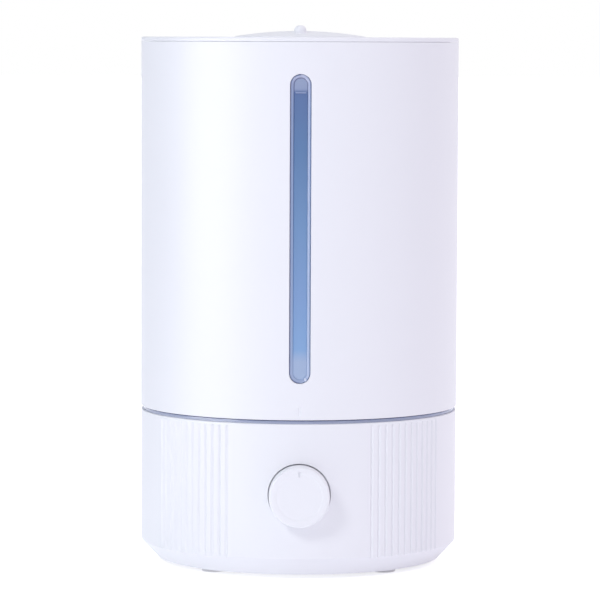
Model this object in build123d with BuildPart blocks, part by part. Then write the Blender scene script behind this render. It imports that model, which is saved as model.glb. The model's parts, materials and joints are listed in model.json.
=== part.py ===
from build123d import *

import os
from math import atan2, cos, pi, radians, sin, tan

# Cool mist humidifier, filled from the top: a fluted base that holds the mist maker, the fan
# and the dial, a lift-off water tank with a level window, a lid and a turning mist outlet.
# Millimetres. The origin is on the body's axis at floor level, +Z is up, the front faces -Y.

# Driving dimensions
body_r = 98.0       # outside radius of the tank sleeve and the lid
base_r = 97.7       # outside radius of the base
foot_h = 3.0        # height of the base above the floor
base_top = 94.8     # top edge of the base
sleeve_low = 97.2   # lower edge of the tank sleeve
seam_z = 322.0      # joint between the sleeve and the lid
lid_top = 324.8     # flat top of the lid
crown_z = 328.7     # top of the mist outlet's dome
fin_top = 332.0     # top of the fin on the dome
dial_z = 52.3       # height of the dial's axis
dial_r = 18.2       # radius of the dial
dial_face = 109.0   # distance of the dial's face in front of the axis
gap = 0.3           # clearance between bodies that move apart
slide = 0.05        # radial clearance of turning fits

# Places seen from above
fan_x = -48.0
fan_y = 0.0
fan_at = (fan_x, fan_y)
valve_x = -48.0
valve_y = -34.0
float_x = 50.0
float_y = -30.0
float_at = (float_x, float_y)
screw_pitch_x = 80.0
screw_pitch_y = 120.0
foot_pitch = 104.0
board_x = 42.0

UP = (Align.CENTER, Align.CENTER, Align.MIN)


def outline(points, centre=(0.0, 0.0)):
    """Closed straight-sided outline of (radius, height) pairs, standing beside an upright axis."""
    upright = Plane(origin=(centre[0], centre[1], 0), x_dir=(1, 0, 0), z_dir=(0, -1, 0))
    with BuildSketch(upright) as sketch:
        with BuildLine():
            Polyline(*points, close=True)
        make_face()
    return sketch.sketch


def turned(points, centre=(0.0, 0.0), mode=Mode.ADD):
    """Turn an outline right round its upright axis, into the part being built."""
    revolve(outline(points, centre), axis=Axis((centre[0], centre[1], 0), (0, 0, 1)), mode=mode)


def ring(inner, outer, low, high, centre=(0.0, 0.0), mode=Mode.ADD):
    """Plain ring of rectangular section."""
    turned([(inner, low), (outer, low), (outer, high), (inner, high)], centre, mode)


def pillar(x, y, low, high, radius, mode=Mode.ADD):
    """Upright round pillar."""
    with Locations((x, y, low)):
        Cylinder(radius, high - low, align=UP, mode=mode)


def block(x, y, low, size_x, size_y, size_z, mode=Mode.ADD):
    """Upright box standing on the height low."""
    with Locations((x, y, low)):
        Box(size_x, size_y, size_z, align=UP, mode=mode)


def front_plane(distance, height):
    """Plane that faces the front, at a distance before the axis, with its Y upwards."""
    return Plane(origin=(0, -distance, height), x_dir=(1, 0, 0), z_dir=(0, -1, 0))


def rear_plane(distance, height):
    """Plane that faces the rear, at a distance behind the axis, with its Y upwards."""
    return Plane(origin=(0, distance, height), x_dir=(-1, 0, 0), z_dir=(0, 1, 0))


def front_bar(near, far, radius, mode=Mode.ADD):
    """Round bar on the dial's axis, from the distance near to the distance far before the body's axis."""
    with BuildSketch(front_plane(near, dial_z)) as section:
        Circle(radius)
    extrude(section.sketch, amount=far - near, mode=mode)


def rear_bar(near, far, height, radius, mode=Mode.ADD):
    """Round bar that points to the rear."""
    with BuildSketch(rear_plane(near, height)) as section:
        Circle(radius)
    extrude(section.sketch, amount=far - near, mode=mode)


def ring_edges(builder, radius, height):
    """Full circle edges of this radius at this height."""
    circles = builder.edges().filter_by(GeomType.CIRCLE)
    return circles.filter_by(lambda e: abs(e.radius - radius) < 0.01 and abs(e.center().Z - height) < 0.01)


def screws_at(spots, seat_z, head_r, head_h, shank_r, shank_h, upward):
    """Pan head screws with a cross recess: the head outside seat_z, the shank on the other side."""
    side = 1 if upward else -1
    with BuildPart() as screws:
        for x, y in spots:
            pillar(x, y, min(seat_z, seat_z - side * head_h), max(seat_z, seat_z - side * head_h), head_r)
            pillar(x, y, min(seat_z, seat_z + side * shank_h), max(seat_z, seat_z + side * shank_h), shank_r)
            recess_low = seat_z - side * head_h if upward else seat_z - side * head_h - head_h / 2
            block(x, y, recess_low, head_r * 1.2, head_r * 0.3, head_h / 2, mode=Mode.SUBTRACT)
            block(x, y, recess_low, head_r * 0.3, head_r * 1.2, head_h / 2, mode=Mode.SUBTRACT)
    return screws


def grid(centre_x, centre_y, pitch_x, pitch_y):
    """The four corners of a rectangle."""
    return [(centre_x + i * pitch_x / 2, centre_y + j * pitch_y / 2) for i in (-1, 1) for j in (-1, 1)]


def round_spots(centre_x, centre_y, radius, count, start=90.0):
    """Points spread evenly on a circle."""
    angles = [radians(start + 360.0 * i / count) for i in range(count)]
    return [(centre_x + radius * cos(a), centre_y + radius * sin(a)) for a in angles]


def lead(points, radius):
    """Insulated lead along straight runs joined by arcs as large as the runs allow."""
    radii = []
    for before, corner, after in zip(points, points[1:], points[2:]):
        run_in = Vector(*corner) - Vector(*before)
        run_out = Vector(*after) - Vector(*corner)
        half_turn = radians(run_in.get_angle(run_out) / 2)
        radii.append(0.45 * min(run_in.length, run_out.length) / tan(half_turn))
    with BuildPart() as wire:
        with BuildLine() as route:
            FilletPolyline(*points, radius=radii)
        with BuildSketch(Plane(origin=route.line @ 0, z_dir=route.line % 0)):
            Circle(radius)
        sweep()
    straight = pi * radius ** 2 * sum(edge.length for edge in route.edges())
    print("lead radii", [round(r, 1) for r in radii], "volume ratio", round(wire.part.volume / straight, 4))
    return wire


os.makedirs("parts", exist_ok=True)
pieces = {}

# Flute: cutter for one upright vee groove, which runs out on the chamfer below and in a quarter
# turn just under the top edge
flute_w = 2.2
flute_d = 0.9
flute_over = 0.5
flute_nose = 0.3
flute_low = 9.0
flute_high = 92.1
flute_count = 12
flute_pitch = 2.92
flute_groups = (47.5, 132.5, 227.5, 312.5)
flute_half = flute_w / 2 * (flute_d + flute_over) / flute_d
with BuildPart() as flute:
    with BuildSketch(Plane.XY.offset(flute_low)) as vee:
        with BuildLine():
            Polyline(
                (base_r + flute_over, -flute_half),
                (base_r + flute_over, flute_half),
                (base_r - flute_d, 0),
                close=True,
            )
        make_face()
        fillet(vee.vertices().sort_by(Axis.X)[0], radius=flute_nose)
    extrude(amount=flute_high - flute_low)
    top_face = flute.faces().sort_by(Axis.Z)[-1]
    tangent = Axis((base_r + flute_over, 0, flute_high), (0, 1, 0))
    revolve(top_face, axis=tangent, revolution_arc=90)
flute_turns = [
    group + flute_pitch * (i - (flute_count - 1) / 2) for group in flute_groups for i in range(flute_count)
]

# Base housing: moulded shell, chamfered at the foot, with ledges for the tray and the cover
shell = 2.6
chamfer_w = 10.0
chamfer_h = 10.8
bore_r = base_r - shell
bend_z = foot_h + chamfer_h
inner_bend_z = bend_z + shell * tan(atan2(chamfer_w, chamfer_h) / 2)
cover_t = 2.5
cover_top = foot_h + cover_t
cover_r = 83.0
cover_clear = 0.2
cover_ledge_r = 80.6
cover_ledge_t = 2.4
cover_ledge_top = cover_top + cover_ledge_t
ledge_root_r = bore_r - (inner_bend_z - cover_ledge_top) * chamfer_w / chamfer_h
tray_floor = 70.0
tray_floor_t = 2.5
tray_under = tray_floor - tray_floor_t
tray_ledge_r = 93.2
tray_ledge_z = 90.0
tray_ledge_t = 2.0
dial_clear = 0.35
well_r = dial_r + dial_clear
well_floor = 95.25
pad_r = 23.0
pad_back = 91.5
bush_hole_r = 3.7
jack_z = 24.0
jack_recess_r = 9.6
jack_seat = 95.2
jack_pad_r = 11.0
jack_hole_r = 5.1
pad_skin = 0.5
edge_round = 0.8
bend_round = 1.0
foot_round = 0.6
beyond = 10.0
with BuildPart() as base_housing:
    turned([
        (base_r - chamfer_w, foot_h),
        (base_r, bend_z),
        (base_r, base_top),
        (bore_r, base_top),
        (bore_r, tray_ledge_z),
        (tray_ledge_r, tray_ledge_z),
        (tray_ledge_r, tray_ledge_z - tray_ledge_t),
        (bore_r, tray_ledge_z - tray_ledge_t - (bore_r - tray_ledge_r)),
        (bore_r, inner_bend_z),
        (ledge_root_r, cover_ledge_top),
        (cover_ledge_r, cover_ledge_top),
        (cover_ledge_r, cover_top),
        (cover_r + cover_clear, cover_top),
        (cover_r + cover_clear, foot_h),
    ])
    fillet(ring_edges(base_housing, base_r, base_top), radius=edge_round)
    fillet(ring_edges(base_housing, base_r, bend_z), radius=bend_round)
    fillet(ring_edges(base_housing, base_r - chamfer_w, foot_h), radius=foot_round)
    add([flute.part.rotate(Axis.Z, turn) for turn in flute_turns], mode=Mode.SUBTRACT)
    front_bar(pad_back, base_r - pad_skin, pad_r)
    rear_bar(pad_back, base_r - pad_skin, jack_z, jack_pad_r)
    ring(base_r, base_r + beyond, bend_z, base_top, mode=Mode.SUBTRACT)
    pillar(0, 0, tray_under - gap, dial_z + pad_r, tray_ledge_r, mode=Mode.SUBTRACT)
    front_bar(well_floor, base_r + beyond, well_r, mode=Mode.SUBTRACT)
    front_bar(pad_back, base_r, bush_hole_r, mode=Mode.SUBTRACT)
    rear_bar(jack_seat, base_r + beyond, jack_z, jack_recess_r, mode=Mode.SUBTRACT)
    rear_bar(pad_back, base_r, jack_z, jack_hole_r, mode=Mode.SUBTRACT)
pieces["base_housing"] = base_housing

# Bottom cover: disc with the air intake grille, screw towers, and posts for the fan and the board
tower_r = 6.0
tower_top = cover_top + 3.0
post_top = 12.0
fan_hole_pitch = 40.0
fan_post_r = 3.6
fan_pilot_r = 1.95
filter_r = 21.5
filter_t = 5.0
filter_clear = 0.5
filter_rim = 2.0
board_hole_x = 48.0
board_hole_y = 64.0
board_post_r = 3.2
board_pilot_r = 1.3
foot_r = 7.0
foot_recess = 0.8
grille_r = 19.5
grille_w = 3.2
grille_pitch = 5.6
grille_count = 7
screw_head_r = 3.8
head_clear = 0.4
screw_seat_z = tower_top - 2.5
case_hole_r = 2.1
case_spots = grid(0, 0, screw_pitch_x, screw_pitch_y)
fan_spots = grid(fan_x, fan_y, fan_hole_pitch, fan_hole_pitch)
board_spots = grid(board_x, 0, board_hole_x, board_hole_y)
foot_spots = grid(0, 0, foot_pitch, foot_pitch)
with BuildPart() as bottom_cover:
    pillar(0, 0, foot_h, cover_top, cover_r)
    ring(filter_r + filter_clear, filter_r + filter_clear + filter_rim, cover_top, cover_top + filter_t, fan_at)
    for x, y in case_spots:
        pillar(x, y, cover_top, tower_top, tower_r)
        pillar(x, y, foot_h, screw_seat_z, screw_head_r + head_clear, mode=Mode.SUBTRACT)
        pillar(x, y, foot_h, tower_top, case_hole_r, mode=Mode.SUBTRACT)
    for x, y in fan_spots:
        pillar(x, y, cover_top, post_top, fan_post_r)
        pillar(x, y, cover_top, post_top, fan_pilot_r, mode=Mode.SUBTRACT)
    for x, y in board_spots:
        pillar(x, y, cover_top, post_top, board_post_r)
        pillar(x, y, cover_top, post_top, board_pilot_r, mode=Mode.SUBTRACT)
    for x, y in foot_spots:
        pillar(x, y, foot_h, foot_h + foot_recess, foot_r + 2 * slide, mode=Mode.SUBTRACT)
    with BuildSketch(Plane.XY.offset(foot_h)) as grille:
        for i in range(grille_count):
            off = (i - (grille_count - 1) / 2) * grille_pitch
            with Locations((fan_x, fan_y + off)):
                SlotOverall(2 * (grille_r ** 2 - off ** 2) ** 0.5, grille_w)
    extrude(amount=cover_t, mode=Mode.SUBTRACT)
    fillet(ring_edges(bottom_cover, cover_r, foot_h), radius=foot_round)
pieces["bottom_cover"] = bottom_cover

# Feet: four rubber buttons glued into recesses under the cover
with BuildPart() as rubber_feet:
    for x, y in foot_spots:
        pillar(x, y, 0, foot_h + foot_recess, foot_r)
    fillet(rubber_feet.edges().filter_by(GeomType.CIRCLE).group_by(Axis.Z)[0], radius=edge_round)
pieces["rubber_feet"] = rubber_feet

# Screws that pull the cover up to the tray's long bosses, with the housing clamped between
case_pilot_r = 1.65
case_screw_r = 1.6
case_screw_l = 20.0
case_head_h = 2.2
pieces["case_screws"] = screws_at(
    case_spots, screw_seat_z, screw_head_r, case_head_h, case_screw_r, case_screw_l, upward=True
)

# Water tray: basin under the tank, with the float's post, the pin that opens the tank's valve,
# clips for the reed switch and long screw bosses underneath
tray_bore_r = 90.8
tray_wall_r = 92.8
tray_lip_r = 94.8
tray_lip_low = 91.0
tray_lip_top = 94.0
tray_round = 4.0
well_bore_r = 26.0
well_wall = 2.4
well_flange_r = 30.4
riser_r = 14.0
riser_wall = 2.0
riser_flange_r = 17.2
rim_t = 1.0
float_post_r = 2.5
float_post_top = 91.0
valve_pin_r = 4.0
valve_pin_top = 83.7
boss_r = 4.5
reed_z = 64.5
reed_r = 1.5
clip_t = 2.0
clip_w = 6.0
clip_off = 5.0
clip_low = reed_z - 2.5
with BuildPart() as water_tray:
    turned([
        (well_bore_r + well_wall + slide, tray_under),
        (tray_wall_r, tray_under),
        (tray_wall_r, tray_lip_low),
        (tray_lip_r, tray_lip_low),
        (tray_lip_r, tray_lip_top),
        (tray_bore_r, tray_lip_top),
        (tray_bore_r, tray_floor),
        (well_bore_r + well_wall + slide, tray_floor),
    ])
    fillet(ring_edges(water_tray, tray_bore_r, tray_floor), radius=tray_round)
    fillet(ring_edges(water_tray, tray_bore_r, tray_lip_top), radius=edge_round)
    pillar(fan_x, fan_y, tray_under, tray_floor, riser_r + riser_wall + slide, mode=Mode.SUBTRACT)
    pillar(float_x, float_y, tray_floor, float_post_top, float_post_r)
    pillar(valve_x, valve_y, tray_floor, valve_pin_top, valve_pin_r)
    for x, y in case_spots:
        pillar(x, y, tower_top, tray_under, boss_r)
        pillar(x, y, tower_top, tower_top + case_screw_l, case_pilot_r, mode=Mode.SUBTRACT)
    for i in (-1, 1):
        block(float_x + i * clip_off, float_y, clip_low, clip_t, clip_w, tray_under - clip_low)
    with Locations(Location((float_x, float_y, reed_z), (0, 90, 0))):
        Cylinder(reed_r + slide, 4 * clip_off, mode=Mode.SUBTRACT)
pieces["water_tray"] = water_tray

# Mist well: cup sunk in the middle of the tray, whose rim is sealed to the tray's floor
mist_well_floor = 52.5
mist_well_under = mist_well_floor - tray_floor_t
mist_hole_r = 11.0
retainer_screw_r = 18.5
retainer_top = 46.5
retainer_boss_r = 3.0
retainer_pilot_r = 1.25
retainer_spots = round_spots(0, 0, retainer_screw_r, 3)
with BuildPart() as mist_well:
    turned([
        (mist_hole_r, mist_well_under),
        (well_bore_r + well_wall, mist_well_under),
        (well_bore_r + well_wall, tray_floor),
        (well_flange_r, tray_floor),
        (well_flange_r, tray_floor + rim_t),
        (well_bore_r, tray_floor + rim_t),
        (well_bore_r, mist_well_floor),
        (mist_hole_r, mist_well_floor),
    ])
    fillet(ring_edges(mist_well, well_bore_r, tray_floor + rim_t), radius=edge_round)
    for x, y in retainer_spots:
        pillar(x, y, retainer_top, mist_well_under, retainer_boss_r)
        pillar(x, y, retainer_top, mist_well_under + rim_t, retainer_pilot_r, mode=Mode.SUBTRACT)
pieces["mist_well"] = mist_well

# Air riser: short chimney that brings the fan's air up through the tray, above the water
riser_top = 90.0
with BuildPart() as air_riser:
    turned([
        (riser_r, tray_under),
        (riser_r + riser_wall, tray_under),
        (riser_r + riser_wall, tray_floor),
        (riser_flange_r, tray_floor),
        (riser_flange_r, tray_floor + rim_t),
        (riser_r + riser_wall, tray_floor + rim_t),
        (riser_r + riser_wall, riser_top),
        (riser_r, riser_top),
    ], fan_at)
    fillet(ring_edges(air_riser, riser_r + riser_wall, riser_top), radius=edge_round)
pieces["air_riser"] = air_riser

# Sealing ring between the tray's lip and the housing's ledge
with BuildPart() as tray_gasket:
    ring(tray_ledge_r + 2 * slide, tray_lip_r, tray_ledge_z, tray_lip_low)
pieces["tray_gasket"] = tray_gasket

# Mist maker: a thin piezo disc in a rubber ring, pressed against the well by a screwed plate
disc_r = 10.0
disc_low = 47.5
disc_t = 1.2
disc_seat_r = 8.6
disc_ring_r = 14.0
retainer_hole_r = 8.0
with BuildPart() as transducer_disc:
    pillar(0, 0, disc_low, disc_low + disc_t, disc_r)
pieces["transducer_disc"] = transducer_disc
with BuildPart() as transducer_gasket:
    ring(disc_seat_r, disc_ring_r, retainer_top, mist_well_under)
    ring(retainer_hole_r, disc_r + 2 * slide, disc_low - 2 * slide, disc_low + disc_t + 2 * slide,
         mode=Mode.SUBTRACT)
pieces["transducer_gasket"] = transducer_gasket
retainer_t = 2.2
retainer_r = 22.5
retainer_screw_hole_r = 1.4
with BuildPart() as transducer_retainer:
    ring(retainer_hole_r, retainer_r, retainer_top - retainer_t, retainer_top)
    for x, y in retainer_spots:
        pillar(x, y, retainer_top - retainer_t, retainer_top, retainer_screw_hole_r, mode=Mode.SUBTRACT)
pieces["transducer_retainer"] = transducer_retainer
pieces["retainer_screws"] = screws_at(
    retainer_spots, retainer_top - retainer_t, head_r=2.6, head_h=1.8, shank_r=1.2, shank_h=6.0, upward=True
)

# Float switch: a ring float with a magnet on the tray's post, and a glass reed switch below it
float_low = 70.5
float_h = 12.0
float_r = 11.0
float_bore_r = 3.2
float_travel = 6.0
magnet_bore_r = 4.6
magnet_r = 8.0
magnet_h = 3.0
float_round = 1.5
float_cap_r = 6.0
cap_low = float_low + float_h + float_travel + gap + slide
with BuildPart() as water_float:
    ring(float_bore_r, float_r, float_low, float_low + float_h, float_at)
    ring(magnet_bore_r - slide, magnet_r + slide, float_low, float_low + magnet_h,
         float_at, mode=Mode.SUBTRACT)
    fillet(ring_edges(water_float, float_r, float_low + float_h), radius=float_round)
pieces["float"] = water_float
with BuildPart() as float_magnet:
    ring(magnet_bore_r, magnet_r, float_low, float_low + magnet_h, float_at)
pieces["float_magnet"] = float_magnet
with BuildPart() as float_cap:
    ring(float_post_r + slide, float_cap_r, cap_low, float_post_top, float_at)
    fillet(ring_edges(float_cap, float_cap_r, float_post_top), radius=foot_round)
pieces["float_cap"] = float_cap
reed_l = 14.0
reed_wire_r = 0.35
reed_wire_l = 4.0
with BuildPart() as reed_switch:
    with Locations(Location((float_x, float_y, reed_z), (0, 90, 0))):
        Cylinder(reed_r, reed_l)
        Cylinder(reed_wire_r, reed_l + 2 * reed_wire_l)
pieces["reed_switch"] = reed_switch

# Fan: square frame on the cover's posts, blowing up the duct into the tray's riser
fan_size = 50.0
fan_t = 15.0
fan_top = post_top + fan_t
fan_bore_r = 23.6
fan_hub_r = 11.0
fan_hub_t = 2.0
fan_shaft_r = 1.5
blade_tip_r = 22.4
blade_count = 7
fan_round = 4.0
strut_count = 3
strut_w = 3.0
strut_mid_r = 17.4
fan_screw_hole_r = 2.2
hub_clear = 0.5
hub_drop = 1.0
shaft_drop = 6.0
with BuildPart() as fan_frame:
    with Locations((fan_x, fan_y, post_top)):
        Box(fan_size, fan_size, fan_t, align=UP)
    fillet(fan_frame.edges().filter_by(Axis.Z), radius=fan_round)
    pillar(fan_x, fan_y, post_top, fan_top, fan_bore_r, mode=Mode.SUBTRACT)
    pillar(fan_x, fan_y, post_top, post_top + fan_hub_t, fan_hub_r)
    with Locations((fan_x, fan_y, post_top)):
        with PolarLocations(strut_mid_r, strut_count, start_angle=90):
            Box(2 * (fan_bore_r + slide - strut_mid_r) + strut_w / 2, strut_w, fan_hub_t, align=UP)
    pillar(fan_x, fan_y, post_top, fan_top, fan_shaft_r + slide, mode=Mode.SUBTRACT)
    for x, y in fan_spots:
        pillar(x, y, post_top, fan_top, fan_screw_hole_r, mode=Mode.SUBTRACT)
pieces["fan_frame"] = fan_frame
pieces["fan_screws"] = screws_at(
    fan_spots, fan_top, head_r=3.4, head_h=2.0, shank_r=1.9, shank_h=19.0, upward=False
)
blade_root = fan_hub_r - 0.6
blade_mid = 20.4
blade_reach = 5.0
blade_rise = 4.6
blade_t = 1.4
with BuildPart() as blade:
    blade_plane = Plane(origin=(fan_x + blade_root, fan_y, blade_mid), x_dir=(0, 1, 0), z_dir=(1, 0, 0))
    with BuildSketch(blade_plane):
        with BuildLine():
            Polyline(
                (-blade_reach, -blade_rise),
                (-blade_reach + blade_t, -blade_rise),
                (blade_reach, blade_rise),
                (blade_reach - blade_t, blade_rise),
                close=True,
            )
        make_face()
    extrude(amount=blade_tip_r - blade_root)
fan_axis = Axis((fan_x, fan_y, 0), (0, 0, 1))
with BuildPart() as fan_rotor:
    pillar(fan_x, fan_y, post_top + fan_hub_t + hub_clear, fan_top - hub_drop, fan_hub_r)
    add([blade.part.rotate(fan_axis, 360.0 * i / blade_count) for i in range(blade_count)])
    pillar(fan_x, fan_y, post_top, fan_top - shaft_drop, fan_shaft_r, mode=Mode.SUBTRACT)
    fillet(ring_edges(fan_rotor, fan_hub_r, fan_top - hub_drop), radius=edge_round)
pieces["fan_rotor"] = fan_rotor
with BuildPart() as fan_shaft:
    pillar(fan_x, fan_y, post_top + gap, fan_top - shaft_drop - slide, fan_shaft_r)
pieces["fan_shaft"] = fan_shaft
duct_r = 23.0
duct_wall = 1.7
cone_low = 29.4
cone_high = 46.2
with BuildPart() as air_duct:
    turned([
        (duct_r, fan_top),
        (duct_r + duct_wall, fan_top),
        (duct_r + duct_wall, cone_low),
        (riser_r + duct_wall, cone_high),
        (riser_r + duct_wall, tray_under),
        (riser_r, tray_under),
        (riser_r, cone_high),
        (duct_r, cone_low),
    ], fan_at)
pieces["air_duct"] = air_duct
with BuildPart() as intake_filter:
    pillar(fan_x, fan_y, cover_top + 2 * slide, cover_top + filter_t, filter_r)
pieces["intake_filter"] = intake_filter

# Driver board: power stage of the mist maker, on four posts
board_size_x = 56.0
board_size_y = 72.0
board_t = 1.6
board_top = post_top + board_t
board_round = 2.0
board_hole_r = 1.6
with BuildPart() as driver_board:
    block(board_x, 0, post_top, board_size_x, board_size_y, board_t)
    fillet(driver_board.edges().filter_by(Axis.Z), radius=board_round)
    for x, y in board_spots:
        pillar(x, y, post_top, board_top, board_hole_r, mode=Mode.SUBTRACT)
pieces["driver_board"] = driver_board
pieces["board_screws"] = screws_at(
    board_spots, board_top, head_r=2.8, head_h=1.8, shank_r=1.25, shank_h=7.0, upward=False
)
sink_x = 52.0
sink_y = 8.0
sink_l = 34.0
sink_h = 26.0
sink_t = 3.0
sink_fin_l = 11.0
sink_fin_t = 1.4
sink_fins = 6
with BuildPart() as heatsink:
    block(sink_x + sink_t / 2, sink_y, board_top, sink_t, sink_l, sink_h)
    for i in range(sink_fins):
        fin_y = sink_y + (i / (sink_fins - 1) - 0.5) * (sink_l - sink_fin_t)
        block(sink_x + sink_t / 2 + sink_fin_l / 2, fin_y, board_top, sink_fin_l + sink_t, sink_fin_t, sink_h)
pieces["heatsink"] = heatsink
case_low = board_top + 6.0
case_w = 10.0
case_h = 9.2
case_t = 3.2
tab_t = 1.3
tab_h = 16.0
leg_pitch = 2.54
leg_w = 0.9
leg_t = 0.6
with BuildPart() as power_transistor:
    block(sink_x - tab_t / 2, sink_y, case_low, tab_t, case_w, tab_h)
    block(sink_x - tab_t - case_t / 2, sink_y, case_low, case_t, case_w, case_h)
    for i in (-1, 0, 1):
        block(sink_x - tab_t - case_t / 2, sink_y + i * leg_pitch, board_top, leg_t, leg_w, case_low - board_top)
pieces["power_transistor"] = power_transistor
cans = ((22.0, 23.6, 5.0, 16.0), (43.0, 30.0, 5.0, 16.0), (41.0, -4.0, 3.2, 11.0))
can_round = 0.7
with BuildPart() as capacitors:
    for x, y, can_r, can_h in cans:
        pillar(x, y, board_top, board_top + can_h, can_r)
    rims = capacitors.edges().filter_by(GeomType.CIRCLE)
    fillet(rims.filter_by(lambda e: e.center().Z > board_top + can_round), radius=can_round)
pieces["capacitors"] = capacitors
coil_at = (30.0, -14.0)
coil_r = 6.0
bobbin_r = 7.0
bobbin_bore_r = 2.2
bobbin_h = 11.0
bobbin_t = 1.6
with BuildPart() as inductor_coil:
    ring(bobbin_bore_r, coil_r, board_top, board_top + bobbin_h, coil_at)
    for low in (board_top, board_top + bobbin_h - bobbin_t):
        ring(bobbin_bore_r, bobbin_r, low, low + bobbin_t, coil_at)
pieces["inductor_coil"] = inductor_coil
chip_h = 1.6
with BuildPart() as driver_chips:
    for x, y, size_x, size_y in ((48.0, -22.0, 10.0, 6.2), (60.0, -20.0, 5.0, 4.0), (40.0, 11.0, 6.0, 5.0)):
        block(x, y, board_top, size_x, size_y, chip_h)
pieces["driver_chips"] = driver_chips
plug_h = 8.0
plug_w = 10.0
plug_t = 6.0
plug_z = board_top + 4.4
plug_x = 18.0
plug_face = plug_x - plug_t / 2
fan_plug_y = -8.0
disc_plug_y = 9.0
dial_plug_x = 30.0
dial_plug_y = -32.0
power_plug_x = 31.0
power_plug_y = 32.5
with BuildPart() as board_connectors:
    for y in (fan_plug_y, disc_plug_y):
        block(plug_x, y, board_top, plug_t, plug_w, plug_h)
    block(dial_plug_x, dial_plug_y, board_top, plug_w, plug_t, plug_h)
    block(power_plug_x, power_plug_y, board_top, plug_w, plug_t, plug_h)
pieces["board_connectors"] = board_connectors

# Dial: potentiometer behind the housing's pad, with its nut in the well and the knob on its shaft
pot_r = 8.25
pot_back = 82.0
bush_r = 3.5
bush_end = 97.0
shaft_r = 3.0
shaft_in = 84.3
shaft_out = 105.0
shaft_flat = 1.5
flat_from = 98.0
nut_t = 1.5
knob_back = well_floor + 0.35
knob_wall = 2.4
hub_r = 6.0
hub_back = 97.6
face_r = 13.4
face_d = 0.3
knob_round = 1.5
pointer_l = 3.4
pointer_w = 1.3
pointer_d = 0.9
nut_r = 5.8
panel_w = 44.0
panel_h = 25.0
panel_plug = (-12.0, 3.0)
panel_plug_w = 8.0
panel_plug_h = 6.0
with BuildPart() as control_board:
    with BuildSketch(front_plane(pot_back, dial_z)):
        Rectangle(panel_w, panel_h)
    extrude(amount=-board_t)
    with BuildSketch(front_plane(pot_back - board_t, dial_z)):
        with Locations(panel_plug):
            Rectangle(panel_plug_w, panel_plug_h)
    extrude(amount=-chip_h)
pieces["control_board"] = control_board
with BuildPart() as potentiometer:
    front_bar(pot_back, pad_back, pot_r)
    front_bar(pad_back, bush_end, bush_r)
    front_bar(shaft_in - gap, bush_end, shaft_r + slide, mode=Mode.SUBTRACT)
pieces["potentiometer"] = potentiometer
with BuildPart() as pot_nut:
    with BuildSketch(front_plane(well_floor, dial_z)):
        RegularPolygon(radius=nut_r, side_count=6)
        Circle(bush_r + slide, mode=Mode.SUBTRACT)
    extrude(amount=nut_t)
pieces["pot_nut"] = pot_nut
with BuildPart() as pot_shaft:
    front_bar(shaft_in, shaft_out, shaft_r)
    with BuildSketch(front_plane(flat_from, dial_z)):
        with Locations((0, -shaft_r)):
            Rectangle(2 * shaft_r, 2 * (shaft_r - shaft_flat))
    extrude(amount=shaft_out - flat_from, mode=Mode.SUBTRACT)
pieces["pot_shaft"] = pot_shaft
with BuildPart() as knob:
    front_bar(knob_back, dial_face, dial_r)
    front_edge = knob.edges().filter_by(GeomType.CIRCLE).sort_by(Axis.Y)[0]
    fillet(front_edge, radius=knob_round)
    front_bar(knob_back, dial_face - knob_wall, dial_r - knob_wall, mode=Mode.SUBTRACT)
    front_bar(hub_back, dial_face - knob_wall, hub_r)
    front_bar(dial_face - face_d, dial_face, face_r, mode=Mode.SUBTRACT)
    with BuildSketch(front_plane(hub_back, dial_z)) as bore:
        Circle(shaft_r + slide)
        with Locations((0, -shaft_r - slide)):
            Rectangle(4 * shaft_r, 2 * (shaft_r - shaft_flat), mode=Mode.SUBTRACT)
    extrude(amount=shaft_out + slide - hub_back, mode=Mode.SUBTRACT)
    with BuildSketch(front_plane(hub_back, dial_z)):
        Circle(shaft_r + slide)
    extrude(amount=flat_from + slide - hub_back, mode=Mode.SUBTRACT)
    with BuildSketch(front_plane(dial_face, dial_z)):
        with Locations((0, face_r)):
            SlotOverall(pointer_l, pointer_w, rotation=90)
    extrude(amount=-pointer_d, mode=Mode.SUBTRACT)
pieces["knob"] = knob

# Power inlet at the rear: barrel jack with a centre pin, held by a nut in the housing's recess
jack_back = 79.5
jack_end = 97.0
jack_barrel_r = 4.9
socket_r = 3.2
socket_floor = 86.5
pin_r = 1.05
pin_end = 96.3
jack_w = 14.0
jack_h = 12.0
jack_round = 1.0
jack_nut_r = 8.2
jack_nut_t = 2.0
with BuildPart() as dc_jack:
    with BuildSketch(rear_plane(jack_back, jack_z)):
        RectangleRounded(jack_w, jack_h, jack_round)
    extrude(amount=pad_back - jack_back)
    rear_bar(pad_back, jack_end, jack_z, jack_barrel_r)
    rear_bar(socket_floor, jack_end, jack_z, socket_r, mode=Mode.SUBTRACT)
pieces["dc_jack"] = dc_jack
with BuildPart() as dc_jack_pin:
    rear_bar(socket_floor, pin_end, jack_z, pin_r)
pieces["dc_jack_pin"] = dc_jack_pin
with BuildPart() as dc_jack_nut:
    with BuildSketch(rear_plane(jack_seat, jack_z)):
        RegularPolygon(radius=jack_nut_r, side_count=6)
        Circle(jack_barrel_r + slide, mode=Mode.SUBTRACT)
    extrude(amount=jack_nut_t)
pieces["dc_jack_nut"] = dc_jack_nut

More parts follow.
